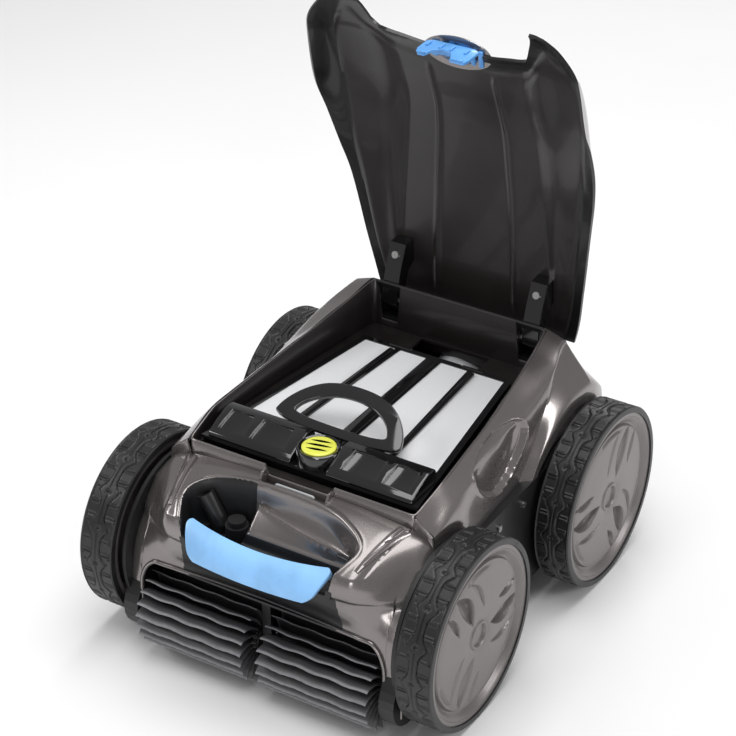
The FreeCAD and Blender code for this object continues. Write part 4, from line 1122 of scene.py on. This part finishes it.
class CLEANER_OT_body(bpy.types.Operator):
    """Builds the body's two flanks, its rear slope and the rim round the filter"""

    bl_idname = "cleaner.body"
    bl_label = "Body"

    def execute(self, context):
        shell = finish("shell")
        wall = size("shell_wall")
        right = side_grid()
        flank = skin("flank_right", right, -wall, [shell, finish("trim")], 1, crease=28)
        place(flank, "chassis", "shell", "body_shell")
        left = skin("flank_left", mirrored_grid(right), -wall, [shell, finish("trim")], 1, crease=28)
        place(left, "chassis", "shell")
        points, faces, marks = rim_ring()
        rim = add_object("filter_rim", points, faces, [shell, finish("well")], marks, crease=50)
        place(rim, "chassis", "shell")
        self.rear(shell, wall)
        return {"FINISHED"}

    @staticmethod
    def rear(shell, wall):
        keys = [row[0] for row in SIDE_ROWS]
        tops = np.array([row[1] for row in SIDE_ROWS], float)
        along = np.linspace(170.5, 236, 30)
        edge = spline(keys, tops, along)
        share = np.linspace(-1, 1, 61)
        deck = np.stack(
            [edge[:, :1] * share, np.repeat(along[:, None], 61, 1), np.repeat(edge[:, 1:], 61, 1)], 2
        )
        obj = skin("rear_slope", deck, -wall, [shell, finish("trim")], 1, crease=28)
        half = ((88, 146.5), (112, 138.5), (140.5, 112), (141.5, 72))
        outline = [*half, *((-x, z) for x, z in reversed(half))]
        panel = add_object("rear_wall", *prism(outline, 233.4, 236.9, axis=1), [shell])
        place(softened(panel, 1.5), "chassis", "shell")
        axis = Vector((0, 68, 37)).normalized()
        middle = Vector((0, 218.5, 180))
        ring = []
        for depth in (-30, 30):
            for i in range(64):
                angle = 2 * math.pi * i / 64
                side = Vector((1, 0, 0)) * math.cos(angle) * 39
                side += axis.cross((1, 0, 0)) * math.sin(angle) * 39
                ring.append(middle + axis * depth + side)
        faces = [tuple(range(64)), tuple(range(127, 63, -1))]
        faces += [(i, 64 + i, 64 + (i + 1) % 64, (i + 1) % 64) for i in range(64)]
        carved(obj, ring, faces)
        place(obj, "chassis", "shell")


class CLEANER_OT_grip(bpy.types.Operator):
    """Builds the blue carrying handle"""

    bl_idname = "cleaner.grip"
    bl_label = "Carrying handle"

    def execute(self, context):
        across = np.linspace(-1, 1, 49)
        down = np.linspace(0, 1, 17)
        grid = np.empty((17, 49, 3))
        for i, v in enumerate(down):
            sag = 1 - across**2
            half = 86 - 15.5 * v**1.25 - 6.5 * abs(2 * v - 1) ** 6
            grid[i, :, 0] = across * half
            front = -213 - 25.5 * v - sag * (8.5 - 6.2 * v)
            height = 180 - 33 * v - sag * (4.5 - 2.5 * v)
            bulge = 5.5 * math.sin(math.pi * v) ** 0.8
            grid[i, :, 1] = front - bulge * 0.7 * (0.6 + 0.4 * sag)
            grid[i, :, 2] = height + bulge * 0.7
        grid[..., 1] = np.maximum(grid[..., 1], -241.8)
        grip = skin("carry_grip", grid, 7.5, [finish("grip")], crease=50)
        place(softened(grip, 2.2, 4, 40), "chassis", "handle_blue", "carry_handle")
        return {"FINISHED"}


def wheel_face(turns=288):
    """Distance from the wheel's middle plane outwards and radius over a polar grid."""
    radius = np.linspace(0.4, 88.2, 92)
    angle = np.linspace(0, 2 * math.pi, turns, endpoint=False)
    r, a = np.meshgrid(radius, angle, indexing="ij")
    keys = (0, 11, 11.8, 12.6, 15.2, 16.2, 17.4, 30, 60, 77.6, 78.6, 79.6, 86.6, 87.6, 88.4)
    depth = (3.4, 3.8, 2.2, 1.2, 1.2, 3.0, 2.4, 1.6, 2.6, 4.2, 5.6, 7.2, 1.6, 1.0, 1.2)
    out = -spline(keys, depth, r.ravel()).reshape(r.shape)
    y, z = r * np.cos(a), r * np.sin(a)
    for third in range(3):
        turn = math.radians(58 + 120 * third)
        u = y * math.cos(turn) + z * math.sin(turn)
        v = -y * math.sin(turn) + z * math.cos(turn)
        out -= lens(u - 50, v - 4 + 0.006 * (u - 50) ** 2, 29, 10.2, 8.4)
        out -= lens(u - 57, v + 19 + 0.006 * (u - 57) ** 2, 20, 4.8, 4.4)
        out -= lens(u - 44, v - 27 + 0.008 * (u - 44) ** 2, 25, 4.2, 2.6)
        arc = np.angle(np.exp(1j * (a - turn - 0.55)))
        out -= 2.0 * np.exp(-(((r - 73.5) / 1.6) ** 2)) * ease(0.34, 0.2, abs(arc))
    return np.stack([out, y, z], 2)


def lens(u, v, half_length, half_width, depth):
    """A pointed hollow: steep on one flank and easy on the other."""
    share = np.clip(1 - (u / half_length) ** 2, 0, 1)
    edge = half_width * share
    inside = np.clip((edge - abs(v)) / np.maximum(half_width, 1e-6), 0, 1)
    lean = ease(-1, 1, v / np.maximum(edge, 0.5))
    return depth * ease(0, 0.4, inside) * (0.3 + 0.7 * lean)


class CLEANER_OT_wheels(bpy.types.Operator):
    """Builds the pressed discs on the four wheels"""

    bl_idname = "cleaner.wheels"
    bl_label = "Wheel discs"

    def execute(self, context):
        face = wheel_face()
        rings, turns = face.shape[:2]
        for end, forward in ENDS:
            for name, side in SIDES:
                axle = forward * size("axle_back")
                outer = size("tyre_outer") - 0.7
                points = np.empty((rings, turns, 3))
                points[..., 0] = side * (outer + face[..., 0])
                points[..., 1] = axle + side * forward * face[..., 1]
                points[..., 2] = size("axle_height") + face[..., 2]
                back = points[-1].copy()
                back[:, 0] = side * (outer - 12.4)
                flat = np.concatenate([points.reshape(-1, 3), back])
                count = rings * turns
                faces = grid_faces(rings, turns, close_columns=True)
                faces.append(tuple(range(turns)))
                faces.append(tuple(range(count + turns - 1, count - 1, -1)))
                edge = count - turns
                for i in range(turns):
                    j = (i + 1) % turns
                    faces.append((edge + i, edge + j, count + j, count + i))
                disc = add_object(f"disc_{end}_{name}", flat, faces, [finish("wheel")], crease=35)
                place(disc, f"wheel_{end}_{name}", "wheel")
        return {"FINISHED"}


def tread_sector(side, axle, bosses):
    """One repeat of the tread: a slice of the ring with keyhole bosses, bars and notches."""
    inner, outer = size("tyre_inner"), size("tyre_outer")
    radius = size("wheel_radius") - 0.15
    seat = size("rim_radius")
    middle = (inner + outer) / 2
    slices = 44
    x = np.linspace(inner + 1.6, outer - 1.6, 46)
    t = np.linspace(0, 1, slices + 1)
    along = (t - 0.5) * 2 * math.pi / bosses * radius
    u, v = np.meshgrid(x - middle, along, indexing="xy")
    pitch = 2 * math.pi / bosses * radius
    boss = np.hypot(u, v)
    wave = 4.2 + 5.4 * np.exp(-((v / 6.2) ** 2)) + 1.3 * np.cos(2 * math.pi * v / pitch) * 0.5
    from_edge = abs(u) - wave
    relief = -0.95 * ease(-0.2, 0.8, from_edge)
    relief -= 0.9 * np.exp(-((from_edge - 0.7) / 0.75) ** 2)
    relief -= 1.5 * np.exp(-((u / 0.6) ** 2)) * ease(3.4, 4.4, boss)
    relief -= 1.6 * ease(2.3, 1.5, boss)
    relief -= 0.8 * np.exp(-(((boss - 3.1) / 0.5) ** 2))
    outside = ease(1.6, 2.6, from_edge)
    for place_at in (0.27, 0.345, -0.27, -0.345):
        bar = np.exp(-(((v - place_at * pitch) / 1.25) ** 4))
        reach = 1 - ease(15.6, 16.8, abs(u))
        relief += 1.15 * bar * outside * reach
    for place_at in (0.31, -0.31):
        relief -= 0.9 * np.exp(-(((v - place_at * pitch) / 0.7) ** 2)) * outside
    notch = np.hypot(abs(u) - 13.4, v - 2.5)
    relief -= 0.9 * ease(1.5, 0.9, notch)
    relief -= 1.0 * np.exp(-(((v - 9.3) / 0.8) ** 2)) * ease(14.2, 15.2, abs(u))
    relief *= ease(18.4, 17.2, abs(u)) * size("tread_depth") / 1.9
    height = radius + np.minimum(relief, 0)
    profile_x = np.concatenate([[inner, inner + 0.3], x, [outer - 0.3, outer, outer, inner]])
    points = []
    for i, share in enumerate(t):
        angle = (share - 0.5) * 2 * math.pi / bosses
        r = np.concatenate(
            [[radius - 2.6, radius - 1.0], height[i], [radius - 1.0, radius - 2.6, seat, seat]]
        )
        points.append(
            np.stack(
                [
                    side * profile_x,
                    axle + r * math.sin(angle),
                    size("axle_height") + r * math.cos(angle),
                ],
                1,
            )
        )
    points = np.array(points)
    faces = grid_faces(slices + 1, points.shape[1], close_columns=True)
    return points.reshape(-1, 3), faces


class CLEANER_OT_tyres(bpy.types.Operator):
    """Builds the four rubber tyres from one repeat of their tread"""

    bl_idname = "cleaner.tyres"
    bl_label = "Tyres"

    def execute(self, context):
        tree = ring_tree()
        bosses = context.scene.cleaner_sizes.tread_bosses
        rubber = finish("tyre")
        for end, forward in ENDS:
            for name, side in SIDES:
                axle = forward * size("axle_back")
                tyre = add_object(f"tread_{end}_{name}", *tread_sector(side, axle, bosses), [rubber])
                ring_of(tyre, tree, bosses, axle, size("axle_height"), rubber)
                place(tyre, f"wheel_{end}_{name}", "tyre", f"tyre_{end}_{name}")
        return {"FINISHED"}


def blade(side, axis_y, axis_z):
    """One flexible blade: a thin curved fin with a wavy free edge."""
    low, high = 9.0, 137.0
    x = np.linspace(low, high, 60)
    reach = np.linspace(0, 1, 9)
    inner, outer = 15.2, size("blade_radius")
    grids = []
    for face in (-1, 1):
        rows = []
        for share in reach:
            r = inner + (outer - inner) * share
            wave = 0.014 * share * np.sin((x - low) / 6.0)
            lean = -0.30 * share**1.6
            half = (1.15 - 0.55 * share) / r
            angle = lean + wave + face * half
            tip = r - (0.5 * abs(np.sin((x - low) / 3.2)) if share == 1 else 0)
            y, z = axis_y + tip * np.sin(angle), axis_z + tip * np.cos(angle)
            rows.append(np.stack([side * x, y, z], 1))
        grids.append(np.array(rows))
    loop = np.concatenate([grids[0], grids[1][::-1]])
    rows, columns = loop.shape[:2]
    faces = grid_faces(rows, columns, close_rows=True)
    for column in (0, columns - 1):
        for i in range(8):
            faces.append(
                (i * columns + column, (i + 1) * columns + column,
                 (rows - 2 - i) * columns + column, (rows - 1 - i) * columns + column)
            )
    return loop.reshape(-1, 3), faces


class CLEANER_OT_brushes(bpy.types.Operator):
    """Builds the two bladed brushes with their toothed end rings"""

    bl_idname = "cleaner.brushes"
    bl_label = "Brushes"

    def execute(self, context):
        tree = ring_tree()
        count = context.scene.cleaner_sizes.blade_count
        y, z = -size("brush_back"), size("brush_height")
        rubber = finish("blades")
        for name, side in SIDES:
            fins = add_object(f"blades_{name}", *blade(side, y, z), [rubber])
            ring_of(fins, tree, count, y, z, rubber, crease=60)
            place(fins, f"brush_{name}", "brush", f"brush_blades_{name}")
            trapezoid = ((-1.6, 17.6), (-1.1, 21.4), (1.1, 21.4), (1.6, 17.6))
            tooth = prism(trapezoid, side * 9.4, side * 12.4, axis=0)
            points = tooth[0] + (0, y, z)
            teeth = add_object(f"end_teeth_{name}", points, tooth[1], [finish("gloss")])
            ring_of(teeth, tree, 20, y, z, finish("gloss"))
            place(teeth, f"brush_{name}", "dark_plastic")
            profile = ((9, 16.2), (9, 18.2), (9.6, 18.8), (12.2, 18.8), (12.8, 18.2), (12.8, 16.2))
            collar = add_object(f"end_ring_{name}", *lathe(profile, 72, y, z, side), [finish("gloss")])
            place(collar, f"brush_{name}", "dark_plastic")
        return {"FINISHED"}


class CLEANER_OT_lid(bpy.types.Operator):
    """Builds the open lid: outer shell, ribbed inside and the black band round its edge"""

    bl_idname = "cleaner.lid"
    bl_label = "Lid"

    def execute(self, context):
        wall = size("lid_wall")
        inner = lid_grid()
        inside = self.with_ribs(inner)
        outer = self.thickened(inner, wall)
        self.shell(inside, outer)
        return {"FINISHED"}

    @staticmethod
    def with_ribs(grid):
        """Long raised facets inside the lid, and a step down to the band at its edge."""
        made = grid.copy()
        rows, columns = made.shape[:2]
        along = np.linspace(0, 1, rows)[:, None]
        place_at = np.abs(np.arange(columns) - (columns - 1) / 2)[None, :]
        for column, drop in ((26, 2.4), (52, 2.0)):
            rib = np.exp(-(((place_at - column) / 1.5) ** 2))
            made[..., 2] -= drop * rib * ease(0.07, 0.11, along) * ease(0.97, 0.9, along)
        panel = ease(60.5, 59, place_at) * ease(0.05, 0.062, along) * ease(0.99, 0.97, along)
        made[..., 2] -= 1.6 * panel
        return made

    @staticmethod
    def thickened(grid, wall):
        """The lid's outer surface, one wall outside the inner one."""
        made = grid.copy()
        normal = grid_normals(grid)
        normal *= np.sign(normal[..., 2:3] + 1e-9)
        made += normal * wall
        made[..., 0] = np.clip(made[..., 0], -161.2, 161.2)
        return made

    @staticmethod
    def shell(inside, outer):
        rows, columns = inside.shape[:2]
        count = rows * columns
        points = opened(np.concatenate([inside.reshape(-1, 3), outer.reshape(-1, 3)]))
        points[:, 2] = np.minimum(points[:, 2], 611.2)
        points[:, 1] = np.clip(points[:, 1], 106, 237)
        faces = grid_faces(rows, columns)
        marks = []
        for face in faces:
            row, column = divmod(face[0], columns)
            off_centre = abs(column + 0.5 - (columns - 1) / 2)
            band = row < 0.05 * rows or off_centre > 59
            marks.append(1 if band else 0)
        faces += [tuple(count + i for i in reversed(f)) for f in faces]
        marks += [2] * len(marks)
        border = (
            [(0, j) for j in range(columns)]
            + [(i, columns - 1) for i in range(1, rows)]
            + [(rows - 1, j) for j in range(columns - 2, -1, -1)]
            + [(i, 0) for i in range(rows - 2, 0, -1)]
        )
        numbers = [i * columns + j for i, j in border]
        for a, b in zip(numbers, numbers[1:] + numbers[:1]):
            faces.append((b, a, count + a, count + b))
            marks.append(1)
        finishes = [finish("inside"), finish("band"), finish("shell")]
        lid = add_object("lid_skin", points, faces, finishes, marks, crease=30)
        place(lid, "lid", "shell", "lid_shell", "lid_liner")


class CLEANER_OT_latch(bpy.types.Operator):
    """Builds the blue latch with its arch, pegs and hooks"""

    bl_idname = "cleaner.latch"
    bl_label = "Latch"

    def execute(self, context):
        blue = finish("latch")
        plate = [(-30, 224), (-30, 205), (-25, 196.5), (-17, 196.5)]
        plate += [(-14, 207), (-6, 214), (4, 213), (9, 205)]
        plate += [(12, 196.5), (28, 196.5), (30, 203), (30, 224), (24, 228.6), (-24, 228.6)]
        parts = [prism(plate, -151, -147.6, axis=1)]
        nose = ((-153, 196), (-153, 198.6), (-150.9, 198.6), (-150.9, 196))
        parts.append(prism(nose, -26, -16, axis=0))
        parts.append(prism(nose, 13, 27, axis=0))
        shelf = ((-147.7, 224.6), (-147.7, 227.4), (-137.8, 227.4), (-137.8, 224.6))
        parts.append(prism(shelf, -21.8, 21.8, axis=0))
        lugs = ((-30, -22, 131), (-12, -6, 135), (2, 8, 135), (16, 21, 130), (25, 30, 129))
        for low, high, reach in lugs:
            lug = ((-147.7, 229.6), (-147.7, 233.4), (-reach, 235.6), (-reach, 232.6))
            parts.append(prism(lug, low, high, axis=0))
        for x in (-24, -9, 3, 20):
            slat = ((x - 1.6, 213), (x - 1.6, 223), (x + 1.6, 223), (x + 1.6, 213))
            parts.append(prism(slat, -152.6, -151, axis=1))
        for name, radii, colour in (("hood", (39, 17, 9.5), "shell"), ("thumb", (25, 12, 12.5), "latch")):
            bump = add_object(f"latch_{name}", *self.dome((0, -139.5, 234), radii), [finish(colour)])
            body, slot = ("lid", "shell") if name == "hood" else ("latch", "latch_blue")
            place(bump, body, slot)
        objects = []
        for number, (points, faces) in enumerate(parts):
            objects.append(add_object(f"latch_{number}", opened(points), faces, [blue]))
        for number, obj in enumerate(objects):
            softened(obj, 0.8, 3, 35)
            place(obj, "latch", "latch_blue", *(("lid_latch",) if number == 0 else ()))
        return {"FINISHED"}

    @staticmethod
    def dome(centre, radii):
        """The upper half of a flattened ball over the lid's front edge."""
        turns, rings = 48, 12
        points = []
        for i in range(rings):
            rise = math.pi / 2 * i / (rings - 0.5)
            for j in range(turns):
                turn = 2 * math.pi * j / turns
                shape = (math.cos(rise) * math.cos(turn), math.cos(rise) * math.sin(turn), math.sin(rise))
                points.append([c + r * s for c, r, s in zip(centre, radii, shape)])
        faces = grid_faces(rings, turns, close_columns=True)
        faces += [tuple(range(turns)), tuple(range((rings - 1) * turns, rings * turns))]
        return opened(points), faces


class CLEANER_OT_filter_top(bpy.types.Operator):
    """Builds the filter's crossbar, its release button, lifting handle and screen ribs"""

    bl_idname = "cleaner.filter_top"
    bl_label = "Filter top"

    def execute(self, context):
        self.crossbar()
        self.button()
        self.handle()
        self.ribs()
        return {"FINISHED"}

    @staticmethod
    def crossbar():
        gloss = finish("gloss")
        line = ((-80.2, 215.6), (-80.2, 228), (-82.5, 231.6), (-88, 232.8))
        line += ((-95, 232.6), (-112, 227), (-122.5, 222), (-126.4, 219.4), (-128, 215.6))
        for name, side in SIDES:
            half = add_object(f"crossbar_{name}", *prism(line, side * 21, side * 119.8, axis=0), [gloss])
            for low, high, front, back in ((34, 74, -119, -95), (82, 112, -119, -95)):
                plan = [(low, front), (high, front), (high - 2, back), (low + 3, back)]
                slope = [(side * x, y, 221.2 + (y + 119) * 0.38) for x, y in plan]
                top = [(x, y, z + 30) for x, y, z in slope]
                count = len(plan)
                faces = [tuple(range(count))[::-1], tuple(range(count, 2 * count))]
                faces += [(i, (i + 1) % count, count + (i + 1) % count, count + i) for i in range(count)]
                carved(half, slope + top, faces)
            softened(half, 1.2, 3, 40)
            place(half, "filter_lid", "gloss_black", *(("filter_crossbar",) if side > 0 else ()))
        profile = ((215.6, 23.2), (228, 23), (230.6, 22), (231.2, 20.6))
        profile += ((230.4, 18.9), (222, 18.5), (222, 0.4), (215.6, 0.4))
        bezel = add_object("button_bezel", *upright(profile, 72, BUTTON_Y), [gloss])
        place(bezel, "filter_lid", "gloss_black")

    @staticmethod
    def button():
        radius = size("button_radius")
        profile = ((225.2, 0.3), (225.2, radius), (230.8, radius))
        profile += ((231.6, radius - 0.8), (232.0, radius - 2.5), (232.2, 0.3))
        finishes = [finish("button"), finish("gloss")]
        disc = add_object("button_disc", *upright(profile, 64, BUTTON_Y), finishes)
        turn = math.radians(13)
        for offset, half in ((-7.6, 11.8), (0, 14.8), (7.6, 11.8)):
            outline = []
            for i in range(24):
                share = -1 + 2 * i / 24
                outline.append((share * half, offset + 1.9 * (1 - share**2)))
            for i in range(24):
                share = 1 - 2 * i / 24
                outline.append((share * half, offset - 1.9 * (1 - share**2)))
            outline = [
                (x * math.cos(turn) - y * math.sin(turn), -106 + x * math.sin(turn) + y * math.cos(turn))
                for x, y in outline
            ]
            carved(disc, *prism(outline, 229.4, 236))
        for face in disc.data.polygons:
            if face.center.z / MM < 229.6 or (abs(face.normal.z) < 0.3 and face.center.z / MM > 229.4):
                flat = (face.center.x / MM) ** 2 + (face.center.y / MM + 106) ** 2
                if flat < (radius - 1.2) ** 2:
                    face.material_index = 1
        place(disc, "button", "button", "release_button")

    @staticmethod
    def handle():
        tilt = math.radians(27)
        outer = ((-76, 0), (-71, 24), (-52, 48), (-24, 61.4), (24, 61.4), (52, 48), (71, 24), (76, 0))
        hole = ((-55, 11), (-52, 24), (-38, 37), (-16, 46.5), (16, 46.5), (38, 37), (52, 24), (55, 11))
        outside = rounded(outer, 3)
        outside[:, 1] = np.maximum(outside[:, 1], 0.3)
        inside = rounded(hole, 3)
        band = add_object("lift_handle", *prism(outside, 0, 5), [finish("gloss")])
        carved(band, *prism(inside, -2, 8))
        softened(band, 1.1, 3, 40)
        turn = Matrix.Translation((0, -0.0796, 0.225)) @ Matrix.Rotation(tilt, 4, "X")
        band.data.transform(turn)
        place(band, "filter_lid", "gloss_black", "filter_handle")

    @staticmethod
    def ribs():
        gloss = finish("gloss")
        lines = [((0, -74), (0, 114), 6.5)]
        for side in (-1, 1):
            lines.append(((side * 60.5, -74), (side * 49.5, 114), 2.9))
        for number, ((x0, y0), (x1, y1), half) in enumerate(lines):
            plan = [(x0 - half, y0), (x0 + half, y0), (x1 + half, y1), (x1 - half, y1)]
            rib = add_object(f"screen_rib_{number}", *prism(plan, 215.0, 217.4), [gloss])
            place(softened(rib, 0.9, 3, 40), "filter_lid", "gloss_black")
        ring = []
        for i in range(40):
            angle = 2 * math.pi * i / 40
            ring.append((16 * math.cos(angle), -70 + 9.5 * math.sin(angle), 217.0))
        bead = add_object("screen_eye", *swept(ring, 1.7, 10, closed=True), [gloss])
        place(bead, "filter_lid", "gloss_black")


# CAD pieces that keep their own mesh, under the finish each one gets.
KEPT = {
    "well": ("filter_well",),
    "trim": (
        "base_tray", "cable_gland", "gland_cap", "hinge_brackets", "gearbox_plate_left",
        "gearbox_plate_right", "side_cover_left", "side_cover_right", "brush_bridge",
        "motor_block", "electronics_cover", "rear_bumper",
        "filter_base", "brush_core_left", "brush_core_right", "impeller", "outlet_grille",
        "inlet_flap_front", "inlet_flap_rear",
    ),
    "gloss": ("hinge_arm_left", "hinge_arm_right", "filter_frame", "filter_cover"),
    "gear": (
        "idler_front_left", "idler_front_right", "idler_rear_left", "idler_rear_right",
        "pinion_left", "pinion_right",
    ),
    "wheel": ("wheel_front_left", "wheel_front_right", "wheel_rear_left", "wheel_rear_right"),
    "steel": ("hinge_pins", "wheel_axles", "idler_pins", "body_screws", "lid_screws"),
    "motor": ("drive_motors", "pump_motor"),
    "board": ("control_board",),
    "tube": ("pump_tube",),
    "screen": ("cover_screens", "filter_screens"),
}


class CLEANER_OT_finishes(bpy.types.Operator):
    """Gives the remaining moulded and metal pieces their finishes"""

    bl_idname = "cleaner.finishes"
    bl_label = "Other pieces"

    def execute(self, context):
        for name, nodes in KEPT.items():
            for node in nodes:
                mesh = NODES[node].data
                mesh.materials.clear()
                mesh.materials.append(finish(name))
                mesh.polygons.foreach_set("material_index", [0] * len(mesh.polygons))
        return {"FINISHED"}


class CLEANER_OT_stage(bpy.types.Operator):
    """Sets the floor, the lights and the camera"""

    bl_idname = "cleaner.stage"
    bl_label = "Stage"

    def execute(self, context):
        scene = context.scene
        floor = add_object(
            "stage_floor",
            [(-6000, -6000, -0.2), (6000, -6000, -0.2), (6000, 6000, -0.2), (-6000, 6000, -0.2)],
            [(0, 1, 2, 3)],
            [finish("floor")],
        )
        world = bpy.data.worlds.new("studio")
        world.use_nodes = True
        light = world.node_tree.nodes["Background"]
        light.inputs[0].default_value = (1.0, 1.0, 1.0, 1)
        light.inputs[1].default_value = 0.34
        scene.world = world
        for name, spot, target, width, power in (
            ("top_panel", (0.1, 0.0, 2.5), (0, 0, 0), 2.6, 44),
            ("left_panel", (-1.9, -0.9, 1.5), (0, 0, 0.2), 1.0, 15),
            ("side_panel", (2.2, 0.5, 1.1), (0.1, 0, 0.15), 0.9, 13),
            ("back_strip", (-0.5, 2.3, 1.5), (0, 0, 0.25), 0.7, 9),
            ("front_strip", (0.9, -2.3, 0.55), (0, -0.2, 0.15), 0.7, 7),
        ):
            self.panel_light(name, Vector(spot), Vector(target), width, power)
        self.camera(scene)
        scene.view_settings.view_transform = "Standard"
        return {"FINISHED"}

    @staticmethod
    def panel_light(name, spot, target, width, power):
        data = bpy.data.lights.new(name, "AREA")
        data.shape = "RECTANGLE"
        data.size = width
        data.size_y = width * 0.6
        data.energy = power
        lamp = bpy.data.objects.new(name, data)
        lamp.location = spot
        lamp.rotation_euler = (target - spot).to_track_quat("-Z", "Y").to_euler()
        bpy.context.scene.collection.objects.link(lamp)

    @staticmethod
    def camera(scene):
        turn, rise, roll = math.radians(32.05), math.radians(31.2), math.radians(-0.375)
        back = Vector(
            (math.sin(turn) * math.cos(rise), -math.cos(turn) * math.cos(rise), math.sin(rise))
        )
        right = Vector((math.cos(turn), math.sin(turn), 0))
        up = back.cross(right)
        level = right * math.cos(roll) + up * math.sin(roll)
        upright = up * math.cos(roll) - right * math.sin(roll)
        data = bpy.data.cameras.new("camera")
        data.lens = 114.83
        data.sensor_width = 36
        data.clip_end = 20
        camera = bpy.data.objects.new("camera", data)
        place_at = Vector((1074.85, -1730.46, 1500.28)) * MM
        columns = Matrix((level, upright, back)).transposed()
        camera.matrix_world = Matrix.Translation(place_at) @ columns.to_4x4()
        scene.collection.objects.link(camera)
        scene.camera = camera


OPERATORS = (
    CLEANER_OT_front,
    CLEANER_OT_body,
    CLEANER_OT_grip,
    CLEANER_OT_wheels,
    CLEANER_OT_tyres,
    CLEANER_OT_brushes,
    CLEANER_OT_lid,
    CLEANER_OT_latch,
    CLEANER_OT_filter_top,
    CLEANER_OT_finishes,
    CLEANER_OT_stage,
)


class CLEANER_PT_panel(bpy.types.Panel):
    """Sizes, colours and pieces of the pool cleaner"""

    bl_label = "Pool cleaner"
    bl_idname = "CLEANER_PT_panel"
    bl_space_type = "VIEW_3D"
    bl_region_type = "UI"
    bl_category = "Pool cleaner"

    def draw(self, context):
        for group in (context.scene.cleaner_sizes, context.scene.cleaner_colours):
            box = self.layout.box()
            for name in group.__annotations__:
                box.prop(group, name)
        column = self.layout.column()
        for operator in OPERATORS:
            column.operator(operator.bl_idname)


CLASSES = (CleanerSizes, CleanerColours, *OPERATORS, CLEANER_PT_panel)


def register():
    for item in CLASSES:
        bpy.utils.register_class(item)
    bpy.types.Scene.cleaner_sizes = bpy.props.PointerProperty(type=CleanerSizes)
    bpy.types.Scene.cleaner_colours = bpy.props.PointerProperty(type=CleanerColours)


def unregister():
    del bpy.types.Scene.cleaner_colours
    del bpy.types.Scene.cleaner_sizes
    for item in reversed(CLASSES):
        bpy.utils.unregister_class(item)


def main():
    register()
    for operator in OPERATORS:
        group, name = operator.bl_idname.split(".")
        getattr(getattr(bpy.ops, group), name)()


if __name__ == "__main__":
    main()
